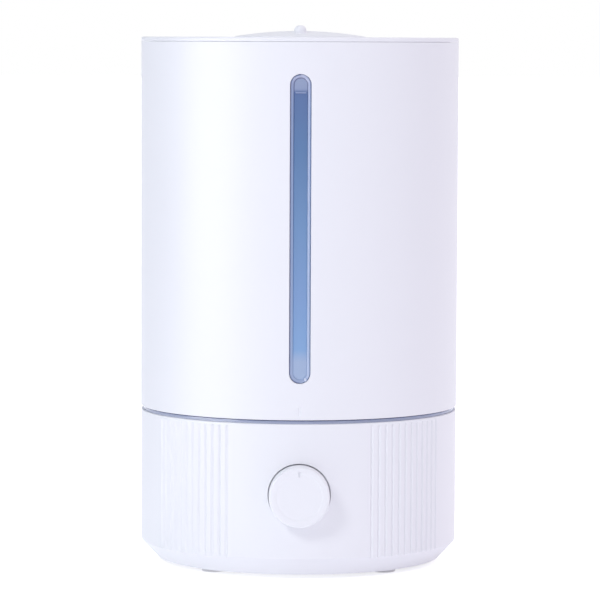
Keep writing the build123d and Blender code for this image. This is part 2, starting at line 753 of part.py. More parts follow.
# Leads inside the base, from the driver board's plugs
lead_r = 1.2
fan_edge = fan_x + fan_size / 2
pieces["fan_lead"] = lead(
    [(fan_edge, fan_plug_y, 19), (-12, fan_plug_y, 19), (-2, -14, 21), (7, fan_plug_y, plug_z),
     (plug_face, fan_plug_y, plug_z)],
    lead_r,
)
pieces["transducer_lead"] = lead(
    [(0, 0, disc_low), (0, 0, 38), (2, 4, 28), (7, disc_plug_y, plug_z), (plug_face, disc_plug_y, plug_z)],
    lead_r,
)
pieces["control_lead"] = lead(
    [(10, board_t - pot_back, 48), (10, -72, 48), (14, -62, 42), (22, -54, 28), (dial_plug_x, -46, plug_z),
     (dial_plug_x, dial_plug_y - plug_t / 2, plug_z)],
    lead_r,
)
pieces["power_lead"] = lead(
    [(0, jack_back, jack_z), (0, 70, jack_z), (6, 60, 23), (20, 54, 20), (power_plug_x, 46, plug_z),
     (power_plug_x, power_plug_y + plug_t / 2, plug_z)],
    lead_r,
)

# Water tank: clear blue wall, whose lower flange shows as a ring under the white sleeve, with a
# ledge inside for the floor
tank_r = 95.2
tank_bore_r = 93.0
tank_top = 320.0
tank_floor = 105.5
tank_floor_t = 2.5
tank_under = tank_floor - tank_floor_t
weld_ledge = 1.4
flange_r = 96.4
flange_low = base_top + gap
flange_top = 97.0
flange_round = 0.5
with BuildPart() as inner_tank:
    turned([
        (tank_bore_r, flange_low),
        (flange_r, flange_low),
        (flange_r, flange_top),
        (tank_r, flange_top),
        (tank_r, tank_top),
        (tank_bore_r, tank_top),
        (tank_bore_r, tank_under),
        (tank_bore_r - weld_ledge, tank_under),
        (tank_bore_r, tank_under - weld_ledge),
    ])
    fillet(ring_edges(inner_tank, flange_r, flange_top), radius=flange_round)
pieces["inner_tank"] = inner_tank

# Tank floor: disc welded into the wall, with a spigot that drops into the tray, bosses for the
# valve's screws and holes for the mist tube and the valve
spigot_r = 90.3
spigot_bore_r = 88.0
spigot_low = 88.0
tube_r = 24.0
tube_bore_r = 22.0
tube_clear = 0.4
valve_hole_r = 14.0
cap_screw_r = 17.0
cap_boss_r = 3.0
cap_boss_h = 4.5
cap_pilot_r = 1.1
cap_pilot_d = 5.5
cap_spots = round_spots(valve_x, valve_y, cap_screw_r, 3)
with BuildPart() as tank_base:
    turned([
        (tube_r + tube_clear, tank_under),
        (spigot_bore_r, tank_under),
        (spigot_bore_r, spigot_low),
        (spigot_r, spigot_low),
        (spigot_r, tank_under),
        (tank_bore_r - slide, tank_under),
        (tank_bore_r - slide, tank_floor),
        (tube_r + tube_clear, tank_floor),
    ])
    for x, y in cap_spots:
        pillar(x, y, tank_floor, tank_floor + cap_boss_h, cap_boss_r)
        pillar(x, y, tank_under, tank_under + cap_pilot_d, cap_pilot_r, mode=Mode.SUBTRACT)
    pillar(valve_x, valve_y, tank_under, tank_floor, valve_hole_r, mode=Mode.SUBTRACT)
pieces["tank_floor"] = tank_base

# Sleeve: white outer skin of the tank, with the window slot and an engraved mark in front
sleeve_bore_r = 95.6
sleeve_lip_r = 93.2
slot_w = 12.7
slot_low = 119.0
slot_high = 303.0
slot_mid = (slot_low + slot_high) / 2
sleeve_round = 0.8
seam_round = 0.5
mark_w = 2.0
mark_h = 5.4
mark_d = 0.5
mark_z = 102.3
mark_round = 0.6
with BuildPart() as outer_sleeve:
    turned([
        (sleeve_bore_r, sleeve_low),
        (body_r, sleeve_low),
        (body_r, seam_z),
        (sleeve_lip_r, seam_z),
        (sleeve_lip_r, tank_top + gap),
        (sleeve_bore_r, tank_top + gap),
    ])
    fillet(ring_edges(outer_sleeve, body_r, sleeve_low), radius=sleeve_round)
    fillet(ring_edges(outer_sleeve, body_r, seam_z), radius=seam_round)
    with BuildSketch(front_plane(sleeve_lip_r, slot_mid)):
        SlotOverall(slot_high - slot_low, slot_w, rotation=90)
    extrude(amount=beyond, mode=Mode.SUBTRACT)
    with BuildSketch(front_plane(body_r - mark_d, mark_z)):
        RectangleRounded(mark_w, mark_h, mark_round)
    extrude(amount=beyond, mode=Mode.SUBTRACT)
pieces["outer_sleeve"] = outer_sleeve

# Level window: clear strip set in the sleeve's slot, with a bevelled channel and a full mark
lens_clear = 0.1
lens_inner_r = 95.4
lens_outer_r = 97.5
channel_floor = 96.2
channel_w = 7.6
channel_slope = 55.0
full_mark_z = 291.8
full_mark_w = 6.4
full_mark_h = 0.9
full_mark_d = 0.6
lens_len = slot_high - slot_low - 2 * lens_clear
lens_w = slot_w - 2 * lens_clear
channel_len = lens_len - (lens_w - channel_w)
with BuildPart() as window_lens:
    ring(lens_inner_r, lens_outer_r, slot_low, slot_high)
    with BuildSketch(front_plane(sleeve_lip_r, slot_mid)):
        SlotOverall(lens_len, lens_w, rotation=90)
    extrude(amount=beyond, mode=Mode.INTERSECT)
    with BuildSketch(front_plane(channel_floor, slot_mid)):
        SlotOverall(channel_len, channel_w, rotation=90)
    extrude(amount=2, taper=-channel_slope, mode=Mode.SUBTRACT)
    with BuildSketch(front_plane(channel_floor, full_mark_z)):
        Rectangle(full_mark_w, full_mark_h)
    extrude(amount=full_mark_d)
pieces["window_lens"] = window_lens

# Mist tube: chimney through the tank, clamped to its floor by a nut with a seal
tube_low = 99.0
tube_high = 312.0
tube_flange_r = 30.0
tube_flange_t = 2.2
tube_nut_r = 29.0
tube_nut_low = 99.6
notch_count = 12
notch_r = 1.2
seal_t = 1.2
tube_flange_low = tank_floor + seal_t
tube_flange_top = tube_flange_low + tube_flange_t
with BuildPart() as mist_tube:
    turned([
        (tube_bore_r, tube_low),
        (tube_r, tube_low),
        (tube_r, tube_flange_low),
        (tube_flange_r, tube_flange_low),
        (tube_flange_r, tube_flange_top),
        (tube_r, tube_flange_top),
        (tube_r, tube_high),
        (tube_bore_r, tube_high),
    ])
    fillet(ring_edges(mist_tube, tube_r, tube_high), radius=edge_round)
pieces["mist_tube"] = mist_tube
with BuildPart() as mist_tube_seal:
    ring(tube_r + 2 * slide, tube_nut_r, tank_floor, tube_flange_low)
pieces["mist_tube_seal"] = mist_tube_seal
with BuildPart() as mist_tube_nut:
    ring(tube_r + slide, tube_nut_r, tube_nut_low, tank_under)
    with PolarLocations(tube_nut_r, notch_count):
        Cylinder(notch_r, 2 * tank_under, mode=Mode.SUBTRACT)
pieces["mist_tube_nut"] = mist_tube_nut

# Tank valve: a sprung plunger that the tray's pin holds open, and that shuts as the tank lifts
valve_at = (valve_x, valve_y)
cap_r = 20.0
cap_under = 99.0
cap_top = 101.5
seat_r = 7.0
hub_low = 96.5
guide_r = 3.2
stem_r = 2.9
stem_low = valve_pin_top + gap
collar_r = 6.0
collar_low = 87.0
collar_top = 88.5
valve_lift = 4.0
valve_head_r = 8.5
valve_head_t = 2.0
valve_seal_r = 10.3
valve_seal_t = 2.0
locating_r = 11.0
locating_drop = 0.5
spoke_count = 3
spoke_l = 3.6
spoke_w = 1.8
spoke_mid_r = 6.4
guide_wall = 2.2
cap_hole_r = 1.3
seal_low = cap_top + valve_lift + gap
seal_top = seal_low + valve_seal_t
with BuildPart() as valve_cap:
    ring(seat_r, cap_r, cap_under, cap_top, valve_at)
    ring(locating_r, valve_hole_r - gap, cap_top, tank_floor - locating_drop, valve_at)
    ring(guide_r, guide_r + guide_wall, hub_low, cap_under, valve_at)
    with Locations((valve_x, valve_y, hub_low)):
        with PolarLocations(spoke_mid_r, spoke_count):
            Box(spoke_l, spoke_w, (cap_under + cap_top) / 2 - hub_low, align=UP)
    for x, y in cap_spots:
        pillar(x, y, cap_under, cap_top, cap_hole_r, mode=Mode.SUBTRACT)
pieces["valve_cap"] = valve_cap
with BuildPart() as valve_cap_gasket:
    ring(valve_hole_r + gap, cap_r, cap_top, tank_under, valve_at)
    for x, y in cap_spots:
        pillar(x, y, cap_top, tank_under, cap_hole_r, mode=Mode.SUBTRACT)
pieces["valve_cap_gasket"] = valve_cap_gasket
pieces["valve_cap_screws"] = screws_at(
    cap_spots, cap_under, head_r=2.4, head_h=1.6, shank_r=1.05, shank_h=8.5, upward=True
)
with BuildPart() as valve_plunger:
    turned([
        (0, stem_low), (stem_r, stem_low), (stem_r, collar_low), (collar_r, collar_low),
        (collar_r, collar_top), (stem_r, collar_top), (stem_r, seal_top), (valve_head_r, seal_top),
        (valve_head_r, seal_top + valve_head_t), (0, seal_top + valve_head_t),
    ], valve_at)
pieces["valve_plunger"] = valve_plunger
with BuildPart() as valve_seal:
    ring(stem_r + slide, valve_seal_r, seal_low, seal_top, valve_at)
pieces["valve_seal"] = valve_seal

# Valve spring: open coil between the cap's hub and the plunger's collar
spring_r = 4.4
spring_wire_r = 0.4
spring_turns = 5
spring_low = collar_top + spring_wire_r + slide
spring_high = hub_low - spring_wire_r - slide
quarters = 4 * spring_turns
spring_rise = (spring_high - spring_low) / quarters


def spring_point(quarter):
    """Point on the coil after so many quarter turns."""
    angle = quarter * pi / 2
    return Vector(
        valve_x + spring_r * cos(angle), valve_y + spring_r * sin(angle), spring_low + spring_rise * quarter
    )


with BuildPart() as valve_spring:
    with BuildLine() as coil:
        heading = Vector(0, spring_r * pi / 2, spring_rise)
        for i in range(quarters):
            turn_arc = TangentArc(spring_point(i), spring_point(i + 1), tangent=heading)
            heading = turn_arc % 1
    with BuildSketch(Plane(origin=coil.line @ 0, z_dir=coil.line % 0)):
        Circle(spring_wire_r)
    sweep()
wire_volume = pi * spring_wire_r ** 2 * sum(edge.length for edge in coil.edges())
print("spring gap", round(4 * spring_rise - 2 * spring_wire_r, 2),
      "volume ratio", round(valve_spring.part.volume / wire_volume, 4))
pieces["valve_spring"] = valve_spring

# Lid: flat cover with a skirt that plugs the tank's mouth, ribbed below, open for the mist outlet
lid_low = seam_z + gap
lid_hole_r = 36.5
skirt_r = 92.6
skirt_bore_r = 90.6
skirt_low = 312.0
groove_r = 91.3
groove_low = 314.5
groove_high = 317.0
rib_count = 8
rib_l = 48.0
rib_t = 1.8
rib_h = 4.0
rib_mid_r = 67.0
lid_round = 1.2
lid_under_round = 0.4
with BuildPart() as lid:
    turned([
        (lid_hole_r, lid_low),
        (skirt_bore_r, lid_low),
        (skirt_bore_r, skirt_low),
        (skirt_r, skirt_low),
        (skirt_r, groove_low),
        (groove_r, groove_low),
        (groove_r, groove_high),
        (skirt_r, groove_high),
        (skirt_r, lid_low),
        (body_r, lid_low),
        (body_r, lid_top),
        (lid_hole_r, lid_top),
    ])
    fillet(ring_edges(lid, body_r, lid_top), radius=lid_round)
    fillet(ring_edges(lid, body_r, lid_low), radius=lid_under_round)
    with Locations((0, 0, lid_low - rib_h)):
        with PolarLocations(rib_mid_r, rib_count, start_angle=180 / rib_count):
            Box(rib_l, rib_t, rib_h, align=UP)
pieces["lid"] = lid
with BuildPart() as lid_gasket:
    ring(groove_r + slide, tank_bore_r - gap, groove_low + slide, groove_high - slide)
pieces["lid_gasket"] = lid_gasket
neck_r = 26.8
neck_low = 302.0
neck_high = 306.0
mouth_r = 39.2
mouth_low = 316.5
mouth_rim_r = 42.4
mouth_rim_low = 320.5
funnel_t = 1.8
funnel_skew = 0.8
with BuildPart() as lid_duct:
    turned([
        (neck_r, neck_low),
        (neck_r + funnel_t, neck_low),
        (neck_r + funnel_t, neck_high),
        (mouth_r + funnel_t, mouth_low),
        (mouth_r + funnel_t, mouth_rim_low),
        (mouth_rim_r, mouth_rim_low),
        (mouth_rim_r, lid_low),
        (mouth_r, lid_low),
        (mouth_r, mouth_low + funnel_skew),
        (neck_r, neck_high + funnel_skew),
    ])
pieces["lid_duct"] = lid_duct

# Mist outlet: low dome that turns in the lid, with a fin to turn it by and a slot behind the fin
dome_r = 40.5
dome_low = lid_top + gap
dome_edge = lid_top + 1.0
dome_round = 0.4
dome_t = 2.2
spigot_out_r = 36.0
spigot_in_r = 33.6
outlet_low = 319.2
fin_w = 7.4
fin_root = 1.6
fin_round = 3.0
fin_front = -27.0
fin_rear = 5.0
outlet_y = 16.0
outlet_l = 36.0
outlet_w = 10.0
with BuildPart() as mist_nozzle:
    with BuildSketch(Plane.XZ):
        with BuildLine():
            Line((0, crown_z - dome_t), (0, crown_z))
            top_rise = crown_z - dome_edge
            top_r = (dome_r ** 2 + top_rise ** 2) / (2 * top_rise)
            top_mid_z = crown_z - top_r + (top_r ** 2 - (dome_r / 2) ** 2) ** 0.5
            ThreePointArc((0, crown_z), (dome_r / 2, top_mid_z), (dome_r, dome_edge))
            Polyline((dome_r, dome_edge), (dome_r, dome_low), (spigot_out_r, dome_low),
                     (spigot_out_r, outlet_low), (spigot_in_r, outlet_low), (spigot_in_r, dome_low))
            under_rise = crown_z - dome_t - dome_low
            under_r = (spigot_in_r ** 2 + under_rise ** 2) / (2 * under_rise)
            under_mid_z = crown_z - dome_t - under_r + (under_r ** 2 - (spigot_in_r / 2) ** 2) ** 0.5
            ThreePointArc((spigot_in_r, dome_low), (spigot_in_r / 2, under_mid_z), (0, crown_z - dome_t))
        make_face()
    revolve(axis=Axis.Z)
    fillet(ring_edges(mist_nozzle, dome_r, dome_edge), radius=dome_round)
    with BuildSketch(Plane.XY.offset(crown_z - fin_root)):
        with Locations((0, (fin_front + fin_rear) / 2)):
            SlotOverall(fin_rear - fin_front, fin_w, rotation=90)
    extrude(amount=fin_top - crown_z + fin_root)
    fillet(mist_nozzle.edges().group_by(Axis.Z)[-1], radius=fin_round)
    with BuildSketch(Plane.XY.offset(outlet_low)):
        with Locations((0, outlet_y)):
            SlotOverall(outlet_l, outlet_w)
    extrude(amount=fin_top - outlet_low, mode=Mode.SUBTRACT)
pieces["mist_nozzle"] = mist_nozzle
retaining_r = 38.2
retaining_gap = 0.5
with BuildPart() as nozzle_retainer:
    ring(spigot_out_r + slide, retaining_r, outlet_low, lid_low - retaining_gap)
pieces["nozzle_retainer"] = nozzle_retainer

for name, piece in pieces.items():
    piece.part.label = name
    export_step(piece.part, f"parts/{name}.step")
print(len(pieces), "parts written")
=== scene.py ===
import json
import math

import bmesh
import bpy
from mathutils import Euler, Matrix, Vector

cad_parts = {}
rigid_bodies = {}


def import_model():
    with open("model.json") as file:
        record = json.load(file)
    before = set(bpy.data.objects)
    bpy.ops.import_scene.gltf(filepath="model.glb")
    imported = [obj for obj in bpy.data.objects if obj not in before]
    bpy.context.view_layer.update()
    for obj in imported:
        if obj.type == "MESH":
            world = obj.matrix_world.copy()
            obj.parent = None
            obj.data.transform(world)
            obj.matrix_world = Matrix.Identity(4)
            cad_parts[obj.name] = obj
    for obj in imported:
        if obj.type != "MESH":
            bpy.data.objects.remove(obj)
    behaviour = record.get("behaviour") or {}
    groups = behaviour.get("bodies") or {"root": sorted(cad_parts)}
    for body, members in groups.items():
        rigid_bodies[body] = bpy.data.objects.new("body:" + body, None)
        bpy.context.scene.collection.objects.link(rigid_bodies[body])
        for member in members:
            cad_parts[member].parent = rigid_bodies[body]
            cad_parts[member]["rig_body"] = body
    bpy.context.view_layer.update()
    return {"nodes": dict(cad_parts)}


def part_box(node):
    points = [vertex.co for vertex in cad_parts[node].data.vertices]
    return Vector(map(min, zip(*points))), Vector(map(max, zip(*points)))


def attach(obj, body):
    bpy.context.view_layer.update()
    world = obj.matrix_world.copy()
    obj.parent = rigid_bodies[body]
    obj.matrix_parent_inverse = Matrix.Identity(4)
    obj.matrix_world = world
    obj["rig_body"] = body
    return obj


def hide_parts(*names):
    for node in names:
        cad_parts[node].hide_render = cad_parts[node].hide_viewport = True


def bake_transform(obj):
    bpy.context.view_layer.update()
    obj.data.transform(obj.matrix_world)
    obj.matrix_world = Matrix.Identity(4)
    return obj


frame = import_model()
scene = bpy.context.scene
scene.view_settings.view_transform = "Standard"

# Studio: a photographer's white sweep, seen through a long lens at the height of the lid's seam. It is
# white to the camera and in reflections, and keeps the humidifier's soft shadow. Light comes from
# softboxes at the left and above and a gloss panel at the far left. The floor also glows as painted
# light that the camera doesn't see: bounce light away from the body, a patch in front that stands in
# for a white bounce card, and a patch at the left that glows only in reflections, a painted reflection.
photo_px = 600
focal_px = 3500
sensor_mm = 36.0
camera_at = Vector((0.0006, -2.17, 0.322))
camera_tilt = math.radians(4.22)
camera_roll = math.radians(0.24)
camera_turn = math.radians(-0.36)
camera_reach = 100.0
pure_white = (1, 1, 1, 1)
sky_left = "#E2F1FF"
sky_right = "#FFF4FF"
sky_left_strength = 0.51
sky_right_strength = 0.92
sky_edge = 0.8
mirror_left = 0.58
ground_color = "#F4F4F8"
ground_glow = 0.62
# Painted light: the floor glows below light the body and, at the left, brighten its reflections, unseen by
# the camera.
ground_bounce_glow = 0.18
bounce_full_r = 0.28
card_patch_glow = 0.24
card_patch_color = "#F4F2F0"
card_patch_at = Vector((-0.06, -0.12, 0.0))
card_patch_r = 0.17
panel_patch = Vector((-0.72, -0.34, 0.0))
panel_patch_r = 0.75
panel_patch_glow = 5.5
ground_half = 30.0
body_middle = Vector((0, 0, 0.17))
key_from = Vector((-6.8, -10.3, 7.2))
key_distance = 1.7
key_size = 0.48
key_power = 6.6
top_power = 2.9
panel_from = Vector((-0.906, -0.423, 0.05))
panel_distance = 1.5
panel_width = 1.1
panel_height = 1.0
panel_power = 12.5


def linear(hex_color):
    """sRGB hex to the linear colour that a shader socket takes."""
    parts = [int(hex_color[i:i + 2], 16) / 255 for i in (1, 3, 5)]
    curve = [c / 12.92 if c <= 0.04045 else ((c + 0.055) / 1.055) ** 2.4 for c in parts]
    return (*curve, 1.0)


def add_node(tree, kind, inputs=None, **settings):
    """Add one node: settings are its properties, inputs its sockets, each a value or a socket to link."""
    made = tree.nodes.new(kind)
    for key, value in settings.items():
        setattr(made, key, value)
    for key, value in (inputs or {}).items():
        if isinstance(value, bpy.types.NodeSocket):
            tree.links.new(value, made.inputs[key])
        else:
            made.inputs[key].default_value = value
    return made


def new_material(name):
    """Empty node material, with its tree and the place on the piece that its patterns go by."""
    material = bpy.data.materials.new(name)
    material.use_nodes = True
    tree = material.node_tree
    tree.nodes.clear()
    place = add_node(tree, "ShaderNodeTexCoord").outputs["Object"]
    return material, tree, place


def seen_directly(tree):
    """1 for rays from the camera, off gloss and through clear plastic, 0 for light that falls on things."""
    path = add_node(tree, "ShaderNodeLightPath").outputs
    mirrored = add_node(tree, "ShaderNodeMath", {
        0: path["Is Camera Ray"], 1: path["Is Glossy Ray"]}, operation="MAXIMUM")
    through = add_node(tree, "ShaderNodeMath", {
        0: mirrored.outputs[0], 1: path["Is Transmission Ray"]}, operation="MAXIMUM")
    return through.outputs[0]


def softbox(name, direction, distance, power, shape, width, height):
    """Area light that looks at the middle of the body from a direction."""
    light = bpy.data.lights.new(name, "AREA")
    light.shape = shape
    light.size = width
    light.size_y = height
    light.energy = power
    lamp = bpy.data.objects.new(name, light)
    scene.collection.objects.link(lamp)
    lamp.location = body_middle + direction.normalized() * distance
    lamp.rotation_euler = direction.to_track_quat("Z", "Y").to_euler()
    return lamp


lens = bpy.data.cameras.new("photo_lens")
lens.sensor_width = sensor_mm
lens.lens = sensor_mm * focal_px / photo_px
lens.clip_end = camera_reach
camera = bpy.data.objects.new("photo_camera", lens)
scene.collection.objects.link(camera)
camera.matrix_world = (
    Matrix.Rotation(camera_turn, 4, "Z")
    @ Matrix.Translation(camera_at)
    @ Euler((math.pi / 2 - camera_tilt, 0, 0)).to_matrix().to_4x4()
    @ Matrix.Rotation(camera_roll, 4, "Z")
)
scene.camera = camera
softbox("key_softbox", key_from, key_distance, key_power, "DISK", key_size, key_size)
gloss_panel = softbox(
    "gloss_panel", panel_from, panel_distance, panel_power, "RECTANGLE", panel_width, panel_height)
gloss_panel.visible_diffuse = False
softbox("top_softbox", Vector((0, 0, 1)), key_distance, top_power, "DISK", key_size, key_size)

world = bpy.data.worlds.new("white_sweep")
scene.world = world
world.use_nodes = True
tree = world.node_tree
tree.nodes.clear()
heading = add_node(tree, "ShaderNodeTexCoord").outputs["Generated"]
across = add_node(tree, "ShaderNodeSeparateXYZ", {0: heading}).outputs["X"]
side = add_node(tree, "ShaderNodeMapRange", {
    "Value": across, "From Min": -sky_edge, "From Max": sky_edge}).outputs[0]
tint = add_node(tree, "ShaderNodeMix", {
    0: side, 6: linear(sky_left), 7: linear(sky_right)}, data_type="RGBA")
level = add_node(tree, "ShaderNodeMapRange", {
    "Value": side, "To Min": sky_left_strength, "To Max": sky_right_strength})
sky = add_node(tree, "ShaderNodeBackground", {"Color": tint.outputs[2], "Strength": level.outputs[0]})
dimmer = add_node(tree, "ShaderNodeMapRange", {"Value": side, "To Min": mirror_left, "To Max": 1.0})
to_camera = add_node(tree, "ShaderNodeLightPath").outputs["Is Camera Ray"]
white = add_node(tree, "ShaderNodeMath", {0: dimmer.outputs[0], 1: to_camera}, operation="MAXIMUM")
backdrop = add_node(tree, "ShaderNodeBackground", {"Color": pure_white, "Strength": white.outputs[0]})
sweep = add_node(tree, "ShaderNodeMixShader", {
    0: seen_directly(tree), 1: sky.outputs[0], 2: backdrop.outputs[0]})
add_node(tree, "ShaderNodeOutputWorld", {"Surface": sweep.outputs[0]})

sweep_paper, tree, place = new_material("white_sweep_paper")
paper = add_node(tree, "ShaderNodeBsdfDiffuse", {"Color": linear(ground_color)})
# Painted reflection: near the panel's foot the floor glows only in reflections. Further down, painted
# bounce light from the floor and from a patch that stands in for a bounce card.
from_patch = add_node(tree, "ShaderNodeVectorMath", {0: place, 1: panel_patch}, operation="DISTANCE")
patch = add_node(tree, "ShaderNodeMapRange", {
    "Value": from_patch.outputs["Value"], "From Max": panel_patch_r,
    "To Min": panel_patch_glow, "To Max": 0.0})
mirrored = add_node(tree, "ShaderNodeLightPath").outputs["Is Glossy Ray"]
shine = add_node(tree, "ShaderNodeMath", {
    0: patch.outputs[0], 1: mirrored, 2: ground_glow}, operation="MULTIPLY_ADD")
glow = add_node(tree, "ShaderNodeEmission", {"Color": pure_white, "Strength": shine.outputs[0]})
paper_seen = add_node(tree, "ShaderNodeAddShader", {0: paper.outputs[0], 1: glow.outputs[0]})
from_card = add_node(tree, "ShaderNodeVectorMath", {0: place, 1: card_patch_at}, operation="DISTANCE")
card = add_node(tree, "ShaderNodeMapRange", {
    "Value": from_card.outputs["Value"], "From Max": card_patch_r, "To Min": card_patch_glow, "To Max": 0.0})
from_body = add_node(tree, "ShaderNodeVectorMath", {0: place}, operation="LENGTH")
far = add_node(tree, "ShaderNodeMapRange", {
    "Value": from_body.outputs["Value"], "From Max": bounce_full_r, "To Max": ground_bounce_glow})
bounce = add_node(tree, "ShaderNodeEmission", {"Color": pure_white, "Strength": far.outputs[0]})
card_glow = add_node(tree, "ShaderNodeEmission", {"Color": linear(card_patch_color), "Strength": card.outputs[0]})
bounces = add_node(tree, "ShaderNodeAddShader", {0: bounce.outputs[0], 1: card_glow.outputs[0]})
paper_lighting = add_node(tree, "ShaderNodeAddShader", {0: paper.outputs[0], 1: bounces.outputs[0]})
ground_mix = add_node(tree, "ShaderNodeMixShader", {
    0: seen_directly(tree), 1: paper_lighting.outputs[0], 2: paper_seen.outputs[0]})
add_node(tree, "ShaderNodeOutputMaterial", {"Surface": ground_mix.outputs[0]})
ground_corners = [(x * ground_half, y * ground_half, 0) for x, y in ((-1, -1), (1, -1), (1, 1), (-1, 1))]
ground_mesh = bpy.data.meshes.new("ground")
ground_mesh.from_pydata(ground_corners, [], [(0, 1, 2, 3)])
ground_mesh.materials.append(sweep_paper)
ground = bpy.data.objects.new("ground", ground_mesh)
scene.collection.objects.link(ground)

# Base housing: the fluted shell that carries everything, injection moulded in white ABS. Its skin is
# a fine satin from the spark-eroded mould, ridges in the mould press the flutes, and the dial's well
# and the power inlet's recess are moulded in.
mm = 0.001
base_low, base_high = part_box("base_housing")
base_r = base_high.x
base_shell = 2.6 * mm
chamfer_w = 10.0 * mm
chamfer_h = 10.8 * mm
foot_round = 0.6 * mm
bend_round = 1.0 * mm
rim_round = 0.5 * mm
bore_round = 0.4 * mm
edge_round = 0.3 * mm
shell_crease = 28.0
cover_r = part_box("bottom_cover")[1].x + 0.2 * mm
cover_seat_r = 80.6 * mm
cover_seat_z = base_low.z + 2.5 * mm
cover_ledge_t = 2.4 * mm
tray_ledge_r = 93.2 * mm
tray_ledge_z = 90.0 * mm
tray_ledge_t = 2.0 * mm
flute_w = 2.2 * mm
flute_d = 0.9 * mm
flute_over = 0.5 * mm
flute_nose = 0.1 * mm
flute_high = base_high.z - 2.7 * mm
flute_count = 12
flute_pitch = 2.92
flute_bearing = 42.5
flute_columns = [-1.15, -1.0, -0.9, -0.5, -0.15, 0.0, 0.15, 0.5, 0.9, 1.0, 1.15]
plain_columns = 40
plain_margin = 0.6
top_row_steps = 7
foot_row_steps = 10
foot_row_pitch = 0.1 * mm
foot_rows_below = 1.3 * mm
row_gap = 0.01 * mm
knob_low, knob_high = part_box("knob")
dial_z = (knob_low.z + knob_high.z) / 2
dial_r = (knob_high.z - knob_low.z) / 2
well_r = dial_r + 0.65 * mm
well_groove = (1.1 * mm, 2.6 * mm)
well_floor = -95.25 * mm
well_lip = 0.12 * mm
jack_low, jack_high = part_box("dc_jack")
jack_z = (jack_low.z + jack_high.z) / 2
jack_recess_r = 9.6 * mm
jack_seat = 95.2 * mm
jack_lip = 0.2 * mm
jack_pad_r = 11.0 * mm
jack_hole_r = 5.1 * mm
dial_pad_r = 23.0 * mm
bush_hole_r = 3.7 * mm
pad_back = 91.5 * mm
tray_room_z = 67.2 * mm
tray_room_top = dial_z + dial_pad_r + 1.0 * mm
tray_room_columns = 180
drift_mm = 60.0
drift_depth = 0.015
gloss_dip = 0.04
gloss_rise = 0.06
merge_gap = 0.001 * mm
sliver = 0.0001 * mm


def shade(hex_color, factor):
    """Linear colour of a darker or lighter tone of a colour."""
    return [min(c * factor, 1.0) for c in linear(hex_color)[:3]] + [1.0]


def moulded(name, color, roughness, grain_mm, bump):
    """Moulded plastic: an even colour that drifts a little over the piece, under a skin broken by the
    mould's fine grain. A grain finer than about a millimetre is drawn at that size, so that it shows."""
    material, tree, place = new_material(name)
    grain = add_node(tree, "ShaderNodeTexNoise", {
        "Vector": place, "Scale": 1000 / grain_mm, "Detail": 2.0, "Roughness": 0.6})
    drift = add_node(tree, "ShaderNodeTexNoise", {
        "Vector": place, "Scale": 1000 / drift_mm, "Detail": 3.0, "Roughness": 0.5})
    tone = add_node(tree, "ShaderNodeMix", {
        0: drift.outputs["Fac"], 6: linear(color), 7: shade(color, 1 - drift_depth)}, data_type="RGBA")
    gloss = add_node(tree, "ShaderNodeMapRange", {
        "Value": grain.outputs["Fac"], "To Min": roughness - gloss_dip, "To Max": roughness + gloss_rise})
    skin = add_node(tree, "ShaderNodeBump", {
        "Strength": bump, "Distance": 0.05 * mm, "Height": grain.outputs["Fac"]})
    surface = add_node(tree, "ShaderNodeBsdfPrincipled", {
        "Base Color": tone.outputs[2], "Roughness": gloss.outputs[0], "IOR": 1.52,
        "Normal": skin.outputs[0]})
    add_node(tree, "ShaderNodeOutputMaterial", {"Surface": surface.outputs[0]})
    return material


def rounded(corners, steps=5):
    """Closed outline of (x, y, corner radius), with each corner turned into an arc."""
    points = []
    for i, (x, y, radius) in enumerate(corners):
        here = Vector((x, y))
        if not radius:
            points.append(here)
            continue
        back = (Vector(corners[i - 1][:2]) - here).normalized()
        ahead = (Vector(corners[(i + 1) % len(corners)][:2]) - here).normalized()
        half = back.angle(ahead) / 2
        centre = here + (back + ahead).normalized() * radius / math.sin(half)
        start = here + back * radius / math.tan(half) - centre
        end = here + ahead * radius / math.tan(half) - centre
        first = math.atan2(start.y, start.x)
        turn = (math.atan2(end.y, end.x) - first + math.pi) % (2 * math.pi) - math.pi
        for s in range(steps + 1):
            angle = first + turn * s / steps
            points.append(centre + radius * Vector((math.cos(angle), math.sin(angle))))
    return points


def mesh_piece(name, verts, faces, material=None):
    """New object in the scene from points and faces, with doubles merged and faces pointing outwards."""
    mesh = bpy.data.meshes.new(name)
    mesh.from_pydata([tuple(v) for v in verts], [], faces)
    work = bmesh.new()
    work.from_mesh(mesh)
    bmesh.ops.remove_doubles(work, verts=work.verts, dist=merge_gap)
    bmesh.ops.dissolve_degenerate(work, edges=work.edges, dist=sliver)
    bmesh.ops.recalc_face_normals(work, faces=work.faces)
    work.to_mesh(mesh)
    work.free()
    if material:
        mesh.materials.append(material)
    piece = bpy.data.objects.new(name, mesh)
    scene.collection.objects.link(piece)
    return piece


def turned(name, outline, angles, material=None):
    """Turn a closed outline of (radius, height) about the body's axis, with a column at each angle."""
    count = len(outline)
    verts = [(r * math.cos(a), r * math.sin(a), z) for a in angles for r, z in outline]
    faces = []
    for i in range(len(angles)):
        here, there = i * count, (i + 1) % len(angles) * count
        for j in range(count):
            k = (j + 1) % count
            faces.append((here + j, there + j, there + k, here + k))
    return mesh_piece(name, verts, faces, material)


def even_angles(count):
    """Angles spread evenly round a circle."""
    return [2 * math.pi * i / count for i in range(count)]


def settled(piece):
    """Turn what the modifiers make into the piece's own mesh."""
    bpy.context.view_layer.update()
    shown = piece.evaluated_get(bpy.context.evaluated_depsgraph_get())
    mesh = bpy.data.meshes.new_from_object(shown)
    piece.modifiers.clear()
    piece.data = mesh
    return piece


